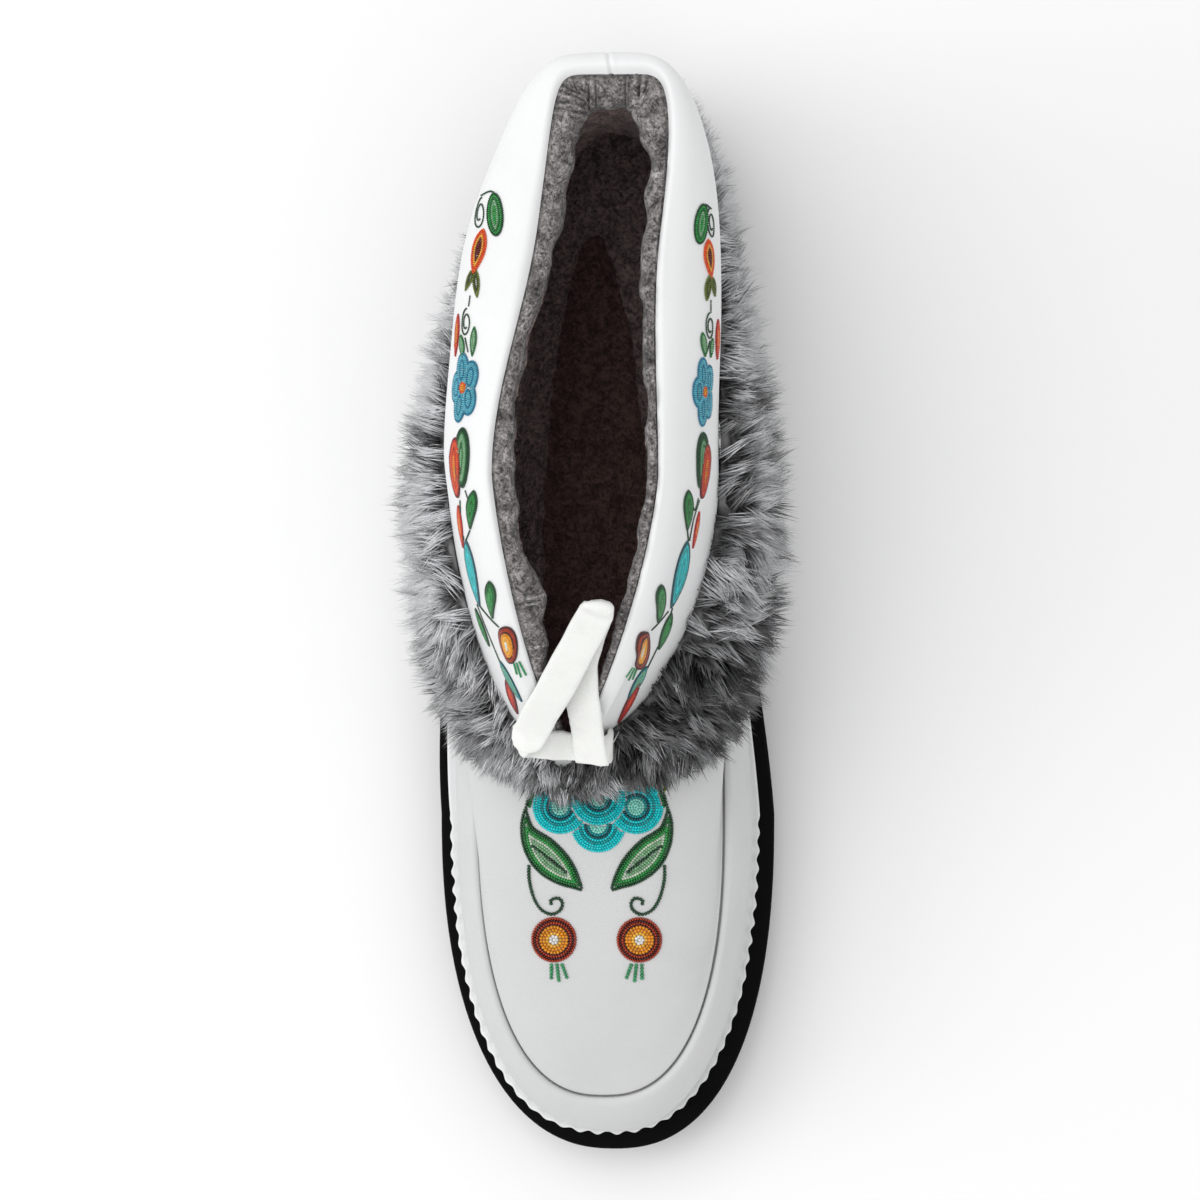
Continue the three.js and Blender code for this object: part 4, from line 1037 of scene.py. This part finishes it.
def makeFur():
    random = np.random.default_rng(61)
    samples = turn(720)
    path = furFace(samples, np.full(720, 0.5), np.full(720, 0.7))[0]
    run = np.concatenate([[0], np.cumsum(np.linalg.norm(np.diff(path, axis=0), axis=-1))])
    for number in range(fur["pieces"]):
        tufts, each = fur["tufts"] // fur["pieces"], fur["hairsPerTuft"]
        angle = np.interp(random.uniform(0, run[-1], tufts), run, samples)
        share = random.uniform(0.0, 1.0, tufts) ** 0.92
        place, out, bulge = furFace(angle, share, np.full(tufts, 0.5))
        swirl = 0.5 * ripple(place, 26, 62) + 0.35 * ripple(place, 9, 63) + random.normal(0, 0.16, tufts)
        along = np.cross((0, 0, 1.0), out)
        heading = out * np.cos(swirl)[:, None] + along * np.sin(swirl)[:, None]
        pitch = mix(-0.75, 0.5, smooth(share)) + random.normal(0, 0.16, tufts) + 0.2 * ripple(place, 8, 64)
        length = fur["reach"] * mix(1.0, 0.62, frontness(angle)) * mix(1.0, 0.8, backness(angle))
        length = length * random.uniform(0.75, 1.2, tufts) * mix(0.8, 1.05, bulge)
        length = length * (1 - 0.5 * np.exp(-(((angle + 1.19) / 0.14) ** 2)) * (1 - share))
        heading = heading * np.cos(pitch)[:, None] + (0, 0, 1) * np.sin(pitch)[:, None]
        tip = place + heading * length[:, None]
        shade = furShade(angle, share, place) * np.exp(random.normal(0, 0.58, tufts))
        owner = np.repeat(np.arange(tufts), each)
        count = len(owner)
        spread = random.normal(0, 1.15, (count, 3)) * (1, 1, 0.8)
        roots = place[owner] + spread - heading[owner] * 1.5
        tips = tip[owner] + spread * 0.35 + random.normal(0, 0.55, (count, 3))
        stretch = random.uniform(0.7, 1.12, count)[:, None]
        tips = roots + (tips - roots) * stretch
        arch = (0.13 * length[owner])[:, None] * random.uniform(0.4, 1.4, (count, 1))
        middles = roots + (tips - roots) * 0.5 + (0, 0, 1) * arch
        thickness = fur["thickness"] * random.uniform(0.7, 1.25, count)
        points, faces = hairMesh(roots, middles, tips, thickness)
        light = np.clip(shade[owner] * np.exp(random.normal(0, 0.18, count)), 0.02, 1.1)
        rootTone = np.clip(light * 0.5 - 0.03, 0.012, 0.6)
        middleTone = np.clip(light * 0.95 - 0.02, 0.02, 0.9)
        tipTone = np.clip(light * 1.3, 0.04, 0.96)
        tones = np.repeat(np.stack([rootTone, middleTone, tipTone], -1), (3, 3, 1), axis=-1)
        tones = tones[..., None] * fur["tint"]
        meshPiece(f"fur_hair_{number + 1}", points, [faces], mottledFur, tones=tones)


makeFurBase()
makeFur()
print("fur made")

# Beadwork: rows of small glass beads sewn flat, one bead wide, laid inwards from each motif's outline.
# Places are pixels of the photograph, carried along the view's rays onto the leather.
beads = {"vampPitch": 0.7, "vinePitch": 0.54, "size": 0.69, "lift": 0.36, "stem": 0.8}
beadColours = {
    "pine": (0.0, 0.055, 0.012), "leaf": (0.012, 0.17, 0.035), "grass": (0.03, 0.36, 0.07),
    "sage": (0.25, 0.5, 0.27), "pearl": (0.6, 0.72, 0.56), "jade": (0.03, 0.33, 0.12),
    "turquoise": (0.0, 0.74, 0.78), "teal": (0.0, 0.09, 0.12), "lagoon": (0.0, 0.36, 0.38),
    "mint": (0.34, 0.86, 0.74), "brick": (0.42, 0.04, 0.008), "maroon": (0.06, 0.003, 0.003),
    "amber": (0.85, 0.33, 0.012), "honey": (0.95, 0.5, 0.05), "white": (0.85, 0.85, 0.83), "flame": (0.82, 0.09, 0.004),
    "wine": (0.15, 0.003, 0.002), "olive": (0.13, 0.18, 0.01), "moss": (0.05, 0.075, 0.006), "sky": (0.12, 0.5, 0.62),
    "river": (0.01, 0.2, 0.34), "cherry": (0.5, 0.01, 0.006),
}
eye = np.array(cameraSetup["place"]) / mm


def faceGrid(face, angle, t):
    # Points and outward normals of a face over a grid of angles and levels
    place = face(angle[None, :], t[:, None])
    normal = unit(np.cross(np.gradient(place, axis=1), np.gradient(place, axis=0)))
    return place.reshape(-1, 3), normal.reshape(-1, 3)


def nearest(queries, places):
    # Index of the closest place for each query, a few hundred queries at a time
    found = []
    squares = (places**2).sum(-1)
    for start in range(0, len(queries), 256):
        part = queries[start:start + 256]
        found.append((squares[None] - 2 * part @ places.T).argmin(-1))
    return np.concatenate(found)


def toPixels(place):
    depth = eye[2] - place[..., 2]
    x = photoSetup["middle"][0] + (place[..., 0] - eye[0]) * photoSetup["focal"] / depth
    y = photoSetup["middle"][1] - (place[..., 1] - eye[1]) * photoSetup["focal"] / depth
    return np.stack([x, y], -1)


def ontoFace(pixels, grid):
    # Where the ray through each pixel meets the face: the nearest grid point seen there, then its plane
    places, normals = grid
    seen = ((eye - places) * normals).sum(-1) > 12
    places, normals = places[seen], normals[seen]
    middle = np.array(photoSetup["middle"])
    pixels = np.asarray(pixels, float).reshape(-1, 2)
    i = nearest(pixels - middle, toPixels(places) - middle)
    ray = np.concatenate([(pixels - middle) * (1, -1) / photoSetup["focal"], -np.ones((len(pixels), 1))], 1)
    along = ((places[i] - eye) * normals[i]).sum(-1) / (ray * normals[i]).sum(-1)
    met = eye + ray * along[:, None]
    far = np.linalg.norm(met - places[i], axis=-1, keepdims=True) > 1.5
    return np.where(far, places[i], met)


def snap(points, grid):
    # Each point moved onto the plane of the nearest grid point, with the normal there
    places, normals = grid
    shift = places.mean(0)
    i = nearest(points - shift, places - shift)
    off = ((points - places[i]) * normals[i]).sum(-1, keepdims=True)
    return points - off * normals[i], normals[i]


def spaced(path, pitch, closed):
    # Points at even spacing along a path, at about the pitch, and the path's direction there
    path = np.asarray(path, float)
    if closed:
        path = np.concatenate([path, path[:1]])
    run = np.concatenate([[0], np.cumsum(np.linalg.norm(np.diff(path, axis=0), axis=-1))])
    count = max(1, round(run[-1] / pitch))
    at = (np.arange(count) + 0.5 * (not closed)) * run[-1] / count
    where = np.stack([np.interp(at, run, column) for column in path.T], -1)
    ahead = np.stack([np.interp(np.minimum(at + 0.1, run[-1]), run, column) for column in path.T], -1)
    behind = np.stack([np.interp(np.maximum(at - 0.1, 0), run, column) for column in path.T], -1)
    return where, ahead - behind


def smoothLine(points, count, closed):
    points = np.asarray(points, float)
    places = np.linspace(0, len(points) - 1, count)
    if closed:
        places = 2 + np.arange(count) * len(points) / count
        points = np.concatenate([points[-2:], points, points[:3]])
    return np.stack([through(column, places) for column in points.T], -1)


def rowsInside(outline, palette, pitch, half=None):
    # Rows of beads inside a closed outline: the line moved inwards along its normals, less what comes
    # nearer to the outline than the row's own depth. With half its width, the palette spans that width.
    outline = np.asarray(outline, float)
    run = unit(np.roll(outline, -1, 0) - np.roll(outline, 1, 0))
    inward = np.stack([-run[:, 1], run[:, 0]], -1)
    x, y = outline.T
    if (x * np.roll(y, -1) - np.roll(x, -1) * y).sum() < 0:
        inward = -inward
    rows = []
    for k in range(60):
        depth = (k + 0.5) * pitch
        line = outline + inward * depth
        gaps = np.linalg.norm(line[:, None] - outline[None], axis=-1).min(-1)
        line = line[gaps > depth - 0.03 * pitch - 0.02]
        if len(line) < 3:
            break
        where, ahead = spaced(line, pitch, True)
        entry = k if half is None else int(depth / half * len(palette))
        rows.append((where, ahead, palette[min(entry, len(palette) - 1)]))
    return rows


class Beadwork:
    # Beads gathered for one face: flat rows go on by a local frame or by the photograph's pixels
    def __init__(self, grid, pitch):
        self.grid, self.pitch = grid, pitch
        self.places, self.runs, self.colours, self.sizes = [], [], [], []

    def add(self, places, runs, colour, size=1.0):
        # Beads that would sit on those already laid are left out
        if self.places:
            laid = np.concatenate(self.places)
            middle = laid.mean(0)
            near = nearest(places - middle, laid - middle)
            free = np.linalg.norm(places - laid[near], axis=-1) > 0.64 * self.pitch
            places, runs = places[free], runs[free]
        self.places.append(places)
        self.runs.append(runs)
        self.colours.append(np.tile(beadColours[colour], (len(places), 1)))
        self.sizes.append(np.full(len(places), size))

    def pixelRow(self, pixels, colour, closed=False, size=1.0, smoothed=True):
        line = smoothLine(pixels, 160, closed) if smoothed else np.asarray(pixels, float)
        where, ahead = spaced(ontoFace(line, self.grid), self.pitch * size, closed)
        self.add(where, ahead, colour, size)

    def mesh(self, name):
        # Each bead: a ring of six points, a pole above and one below, flattened a little along its row
        around = 2 * np.pi * np.arange(6) / 6
        ring = np.stack([np.cos(around), np.sin(around), 0 * around], -1)
        ball = np.concatenate([ring, [(0, 0, 1), (0, 0, -1)]])
        i, j = np.arange(6), (np.arange(6) + 1) % 6
        faces = np.concatenate([np.stack([i, j, 6 + 0 * i], -1), np.stack([j, i, 7 + 0 * i], -1)])
        places, normals = snap(np.concatenate(self.places), self.grid)
        runs, colours, sizes = (np.concatenate(part) for part in (self.runs, self.colours, self.sizes))
        random = np.random.default_rng(71)
        run = unit(runs - (runs * normals).sum(-1, keepdims=True) * normals)
        side = np.cross(normals, run)
        sizes = sizes * self.pitch
        scale = (beads["size"] * sizes * random.uniform(0.93, 1.05, len(sizes)))[:, None, None]
        points = (ball[None, :, :1] * run[:, None] * 0.9 + ball[None, :, 1:2] * side[:, None]
                  + ball[None, :, 2:] * normals[:, None] * 0.92) * scale
        points = points + (places + normals * (beads["lift"] * sizes)[:, None])[:, None]
        colours = np.clip(colours * random.uniform(0.82, 1.15, (len(sizes), 1)), 0, 1)
        faces = (faces[None] + len(ball) * np.arange(len(sizes))[:, None, None]).reshape(-1, 3)
        print(name, len(sizes), "beads")
        return meshPiece(name, points, [faces], glassBead, tones=np.repeat(colours, len(ball), 0))


vamp = {
    "mirror": 381.6,
    "leaf": [(311.5, 803), (305.9, 818.5), (305.1, 832.9), (307.5, 847.2), (313.9, 861.6), (325, 874.3), (341, 883.9),
             (357, 888.7), (367.3, 890.3), (364.9, 877.5), (358.5, 863.2), (350.6, 852), (337.8, 839.3), (325, 831.3),
             (318.7, 826.5), (315.5, 820.1), (312.5, 811)],
    "vein": [(316.3, 845.6), (324, 850), (335, 859), (345, 867), (351.4, 872.7)],
    "tendril": [(313.9, 864.8), (313.9, 877.5), (316.3, 890.3), (320.3, 901.4), (326.7, 910.2), (336.2, 914.2),
                (344.2, 911), (347.4, 904.6), (345, 899), (340.2, 898.2), (335.6, 900.6), (336.5, 905)],
    "stem": [(311.5, 806), (313.6, 798), (317.9, 786)],
    "disc": (338.9, 939.8),
    "drops": [((336.5, 963.5), (336.2, 979.5)), ((341.8, 963.5), (343.9, 982)), ((346.6, 963.5), (352.2, 978.8))],
    "lobes": [(383.2, 797.8), (345, 806.6), (420.9, 806.6), (383, 825)],
    "lobeRadius": 27.3,
    "corner": [(409, 796), (414.3, 780.3), (427, 770), (438.2, 767.5), (446, 777), (451.5, 789), (441, 794.5),
               (425, 796.5)],
    "edge": [(314.7, 785.8), (322, 788), (331, 792)],
}
leafRows = ["pine", "leaf", "grass", "pearl", "sage", "sage", "sage", "sage"]
lobeRows = ["turquoise", "turquoise", "turquoise", "lagoon", "turquoise", "teal", "lagoon", "mint", "mint", "mint"]


def makeVampBeads():
    angle = -quarterTurn + 0.8 * apron["halfTurn"] * np.linspace(-1, 1, 340)
    grid = faceGrid(apronTop, angle, np.linspace(6.8, ankleLevel - 0.1, 110))
    work = Beadwork(grid, beads["vampPitch"])
    pixel = 0.262  # millimetres on the vamp for one pixel
    pitch = beads["vampPitch"] / pixel

    def flip(points, side):
        points = np.asarray(points, float)
        return points if side > 0 else points * (-1, 1) + (2 * vamp["mirror"], 0)

    def addRows(rows):
        for where, ahead, colour in rows:
            work.add(ontoFace(where, grid), np.concatenate([ahead * (1, -1), np.zeros((len(ahead), 1))], 1), colour)

    for side in (1, -1):
        leaf = smoothLine(flip(vamp["leaf"], side), 420, True)
        vein = smoothLine(flip(vamp["vein"], side), 80, False)
        rows = rowsInside(leaf, leafRows, pitch)
        for n, (where, ahead, colour) in enumerate(rows):
            clear = np.linalg.norm(where[:, None] - vein[None], axis=-1).min(-1) > 0.7 * pitch
            addRows([(where[clear], ahead[clear], colour)] if n > 2 else [(where, ahead, colour)])
        work.pixelRow(vein, "pine", size=1.15, smoothed=False)
        for key, colour in (("tendril", "pine"), ("stem", "pine")):
            work.pixelRow(flip(vamp[key], side), colour, size=1.15)
        work.pixelRow(flip(np.add(vamp["stem"], (2.6, 1.5)), side), "leaf")
        centre = flip(np.array(vamp["disc"]), side)
        for radius, colour in ((5.6, "brick"), (4.98, "maroon"), (4.42, "brick"), (3.92, "maroon"), (3.4, "amber"),
                               (2.58, "amber"), (1.76, "honey"), (0.92, "white"), (0.1, "white")):
            around = 2 * np.pi * np.arange(90) / 90
            ring = centre + radius / pixel * np.stack([np.cos(around), np.sin(around)], -1)
            size = 1.2 if radius < 3.8 else 1.0
            where, ahead = spaced(ring, pitch * size, True)
            flat = np.concatenate([ahead * (1, -1), np.zeros((len(ahead), 1))], 1)
            work.add(ontoFace(where, grid), flat, colour, size)
        for start, end in vamp["drops"]:
            work.pixelRow(flip([start, end], side), "jade", size=1.2, smoothed=False)
    laid = []
    for centre in np.array(vamp["lobes"]):
        for k, colour in enumerate(lobeRows):
            radius = vamp["lobeRadius"] - (k + 0.5) * pitch
            around = 2 * np.pi * np.arange(120) / 120
            where, ahead = spaced(centre + radius * np.stack([np.cos(around), np.sin(around)], -1), pitch, True)
            free = np.ones(len(where), bool)
            for other in laid:
                free &= np.linalg.norm(where - other, axis=-1) > vamp["lobeRadius"] + 0.45 * pitch
            addRows([(where[free], ahead[free], colour)])
        laid.append(centre)
    addRows(rowsInside(smoothLine(vamp["corner"], 300, True), ["olive", "moss", "olive", "pine", "moss"], pitch))
    work.pixelRow(vamp["edge"], "olive")
    work.mesh("vamp_beads")


makeVampBeads()

# The vine on the shaft: each motif has a kind, the two ends of its long axis, half its width across and the
# colours of its rows from the outside in
leafGreens, ovalGreens = ["pine", "leaf", "grass", "leaf", "grass"], ["pine", "pine", "leaf", "sage", "leaf", "sage"]
discRows = ["maroon", "brick", "maroon", "amber", "amber", "honey", "white"]
splashRows = ["teal", "turquoise", "lagoon", "turquoise", "lagoon", "turquoise"]
vine = {
    "lateral": [
        ("oval", (279, 192), (281, 236), 8.5, ["pine", "grass", "leaf", "sage", "grass"]),
        ("spiral", (267, 197), (263, 230), 5.0, ["pine"]),
        ("leaf", (268.5, 228), (258, 274), 6.8, ["flame", "flame", "honey", "wine", "wine"]),
        ("leaf", (260, 266), (250, 291), 3.0, ["olive", "moss", "olive"]),
        ("leaf", (260.5, 268), (262, 298), 3.6, ["olive", "moss", "olive"]),
        ("spiral", (252, 308), (250, 337), 4.6, ["pine"]),
        ("leaf", (259.5, 326), (257, 357), 3.4, ["leaf", "sage", "sage"]),
        ("leaf", (246, 334), (248, 358), 2.6, ["leaf", "sage", "sage"]),
        ("leaf", (243.5, 313), (240.5, 357), 2.0, ["cherry", "flame", "amber"]),
        ("flower", (252, 352), (246, 423), 12.5, ["river", "sky", "sky", "river", "sky"]),
        ("oval", (239, 437), (242, 498), 5.2, ["wine", "cherry", "flame", "cherry", "flame", "amber"]),
        ("oval", (247, 427), (247, 488), 7.5, ovalGreens),
        ("leaf", (258, 490), (255, 530), 5.0, leafGreens),
        ("leaf", (243, 505), (248.5, 549), 1.8, ["cherry", "flame", "amber"]),
        ("leaf", (250.5, 540), (265, 607), 6.4, splashRows),
        ("leaf", (274, 581), (278, 619), 5.4, leafGreens),
        ("disc", (289, 626), (297, 663), 7.8, discRows),
        ("leaf", (260.5, 608), (275, 647), 4.4, leafGreens),
        ("leaf", (291, 679), (303, 714), 3.4, ["wine", "cherry", "cherry", "flame"]),
        ("leaf", (285, 661), (307, 702), 5.4, ["teal", "lagoon", "sage", "lagoon", "sage"]),
    ],
    "medial": [
        ("oval", (488, 203.5), (484, 244.5), 7.0, ["pine", "grass", "leaf", "sage", "grass"]),
        ("spiral", (494.5, 208), (497, 240), 3.6, ["pine"]),
        ("leaf", (492.5, 239), (495.5, 279), 5.6, ["flame", "flame", "honey", "wine", "wine"]),
        ("leaf", (494, 275), (491, 302), 3.2, ["olive", "moss", "olive"]),
        ("leaf", (497, 277), (499.5, 297), 2.4, ["olive", "moss", "olive"]),
        ("spiral", (494.5, 313), (494.5, 341), 4.0, ["pine"]),
        ("leaf", (487, 332), (490, 358), 3.0, ["leaf", "sage", "sage"]),
        ("leaf", (497, 338), (495, 358), 2.4, ["leaf", "sage", "sage"]),
        ("leaf", (502.5, 319), (501.5, 361), 1.8, ["cherry", "flame", "amber"]),
        ("flower", (489, 357), (488, 427), 9.6, ["river", "sky", "sky", "river", "sky"]),
        ("oval", (492.5, 443), (487, 499), 4.2, ["wine", "cherry", "flame", "cherry", "flame", "amber"]),
        ("oval", (488.5, 432), (485.5, 489), 7.2, ovalGreens),
        ("leaf", (473.5, 490), (472, 531), 4.6, leafGreens),
        ("leaf", (484, 511), (477, 550), 1.6, ["cherry", "flame", "amber"]),
        ("leaf", (473, 541), (456, 609), 6.0, splashRows),
        ("leaf", (447, 585), (443, 623), 4.8, leafGreens),
        ("disc", (431, 632), (423, 669), 6.6, discRows),
        ("leaf", (456.5, 613), (443, 650), 4.0, leafGreens),
        ("leaf", (424.5, 682), (402, 724), 3.0, ["wine", "cherry", "cherry", "flame"]),
        ("leaf", (431.5, 666), (412, 700), 4.8, ["teal", "lagoon", "sage", "lagoon", "sage"]),
    ],
    "lateralStems": [
        [(266, 195), (274, 191), (279, 192)], [(255, 295), (253.5, 306)], [(250, 337), (253, 352)],
        [(250, 490), (254, 500), (258, 491)], [(255, 530), (251, 540)], [(265, 606), (275, 618), (284, 627)],
        [(262, 604), (272, 630), (286, 664)], [(245, 500), (246, 520), (249, 540)],
    ],
    "medialStems": [
        [(496, 209), (491, 205), (488, 204)], [(495.5, 300), (495.5, 313)], [(494.5, 341), (490, 357)],
        [(483, 498), (479, 510), (474, 492)], [(472, 531), (473, 541)], [(453, 611), (444, 622), (436, 630)],
        [(457, 608), (449, 632), (432, 668)], [(484, 500), (478, 520), (474, 541)],
    ],
    "lateralDrops": [((299, 663), (302, 674)), ((301.5, 662.5), (306, 677)), ((304, 661), (311, 675))],
    "medialDrops": [((421, 669), (417, 679)), ((419, 668), (413, 680)), ((417, 667), (410.5, 677))],
}


def petalOutline(kind, length, width):
    # An oval, or a leaf whose half width swings as sin(pi t)^0.8 from base to tip
    if kind != "leaf":
        around = 2 * np.pi * np.arange(220) / 220
        return np.stack([length * np.cos(around), width * np.sin(around)], -1)
    t = (1 - np.cos(np.linspace(0, np.pi, 110))) / 2
    half = width * np.sin(np.pi * t**0.85) ** 0.8
    upper, lower = np.stack([length * (2 * t - 1), half], -1), np.stack([length * (2 * t - 1), -half], -1)
    return np.concatenate([upper, lower[::-1][1:-1]])


def makeVine():
    t = np.linspace(ankleLevel + 1.2, 17.1, 120)
    for name, start in (("lateral", np.radians(98)), ("medial", np.radians(-80))):
        grid = faceGrid(shaftFace, start + np.radians(np.linspace(0, 162, 560)), t)
        work = Beadwork(grid, beads["vinePitch"])
        pitch = beads["vinePitch"]
        for kind, first, second, half, palette in vine[name]:
            first, second = np.array(first, float), np.array(second, float)
            middle, along = (first + second) / 2, unit(second - first)
            crossway = np.array([-along[1], along[0]])
            marks = ontoFace([first, second, middle + crossway * half, middle - crossway * half, middle], grid)
            length, width = (np.linalg.norm(marks[i] - marks[i + 1]) / 2 for i in (0, 2))
            width = min(width, {"disc": 0.9, "oval": 0.58, "leaf": 0.54}.get(kind, 1.0) * length)
            u, v = unit(marks[1] - marks[0]), unit(marks[2] - marks[3])
            centre = (marks[0] + marks[1] + marks[2] + marks[3] + 2 * marks[4]) / 6
            if kind == "spiral":
                # One wide turn and a half, drawn in to a third
                around = np.linspace(0, 3.2 * np.pi, 140)
                shrink = np.linspace(1, 0.34, 140)
                curl = np.stack([-length * shrink * np.cos(around), width * shrink * np.sin(around)], -1)
                where, ahead = spaced(curl, pitch * beads["stem"], False)
                work.add(centre + where[:, :1] * u + where[:, 1:] * v, ahead[:, :1] * u + ahead[:, 1:] * v, "pine",
                         beads["stem"])
                continue
            if kind == "flower":
                # A heart and five round petals, each clipped by the two beside it half way between them
                rows = rowsInside(petalOutline("oval", 0.17 * length, 0.24 * width), ["flame", "amber"], pitch)
                for k in range(5):
                    facing = 2 * np.pi * k / 5 + 0.3
                    petal = petalOutline("oval", 0.5, 0.46) @ np.array([(np.cos(facing), np.sin(facing)),
                                                                        (-np.sin(facing), np.cos(facing))])
                    petal = petal + 0.52 * np.array([np.cos(facing), np.sin(facing)])
                    for where, ahead, colour in rowsInside(petal * (length, width), palette, pitch):
                        around = np.arctan2(where[:, 1] / width, where[:, 0] / length) - facing
                        own = np.cos(around) > np.cos(np.pi / 5)
                        rows.append((where[own], ahead[own], colour))
            else:
                rows = rowsInside(petalOutline(kind, length, width), palette, pitch, width)
            for where, ahead, colour in rows:
                work.add(centre + where[:, :1] * u + where[:, 1:] * v, ahead[:, :1] * u + ahead[:, 1:] * v, colour)
        for stem in vine[name + "Stems"]:
            work.pixelRow(stem, "pine", size=beads["stem"])
        for drop in vine[name + "Drops"]:
            work.pixelRow(drop, "jade", smoothed=False)
        work.mesh(f"{name}_vine_beads")


makeVine()
print("beads made")

# Floor and light
studio = {"floor": 12.0, "floorColour": (0.97, 0.97, 0.97), "world": 0.68}


def addStudio():
    half = studio["floor"] / 2
    mesh = bpy.data.meshes.new("floor")
    mesh.from_pydata([(-half, -half, 0), (half, -half, 0), (half, half, 0), (-half, half, 0)], [], [(0, 1, 2, 3)])
    floor = bpy.data.objects.new("floor", mesh)
    bpy.context.collection.objects.link(floor)
    mesh.materials.append(finishOf("pale paper floor", studio["floorColour"], floorShades,
                                   **{"Specular IOR Level": 0.1}))
    world = bpy.data.worlds.new("studio")
    world.use_nodes = True
    world.node_tree.nodes["Background"].inputs["Color"].default_value = (1, 1, 1, 1)
    world.node_tree.nodes["Background"].inputs["Strength"].default_value = studio["world"]
    bpy.context.scene.world = world
    bpy.context.scene.view_settings.view_transform = "Standard"
    lamps = {
        "overhead": ((-0.35, 0.25, 1.6), 1.2, 8.4),
        "left": ((-1.3, -0.2, 0.9), 1.0, 4.5),
        "toe": ((0.3, -1.4, 1.0), 1.0, 2.0),
    }
    for name, (place, size, power) in lamps.items():
        data = bpy.data.lights.new(name, "AREA")
        data.shape, data.size, data.energy = "DISK", size, power
        lamp = bpy.data.objects.new(name, data)
        bpy.context.collection.objects.link(lamp)
        back = unit(np.subtract(place, (0, -0.1, 0.06)))
        right = unit(np.cross((0, 1, 0.01), back))
        matrix = np.eye(4)
        matrix[:3, 0], matrix[:3, 1], matrix[:3, 2], matrix[:3, 3] = right, np.cross(back, right), back, place
        lamp.matrix_world = Matrix(matrix.tolist())


def floorShades(tree, colour):
    paper = noise(tree, addNode(tree, "ShaderNodeTexCoord").outputs["Object"], 900.0, 2.0)
    return None, ranged(tree, paper, 0.85, 0.95), None, None


addStudio()
print("studio made")
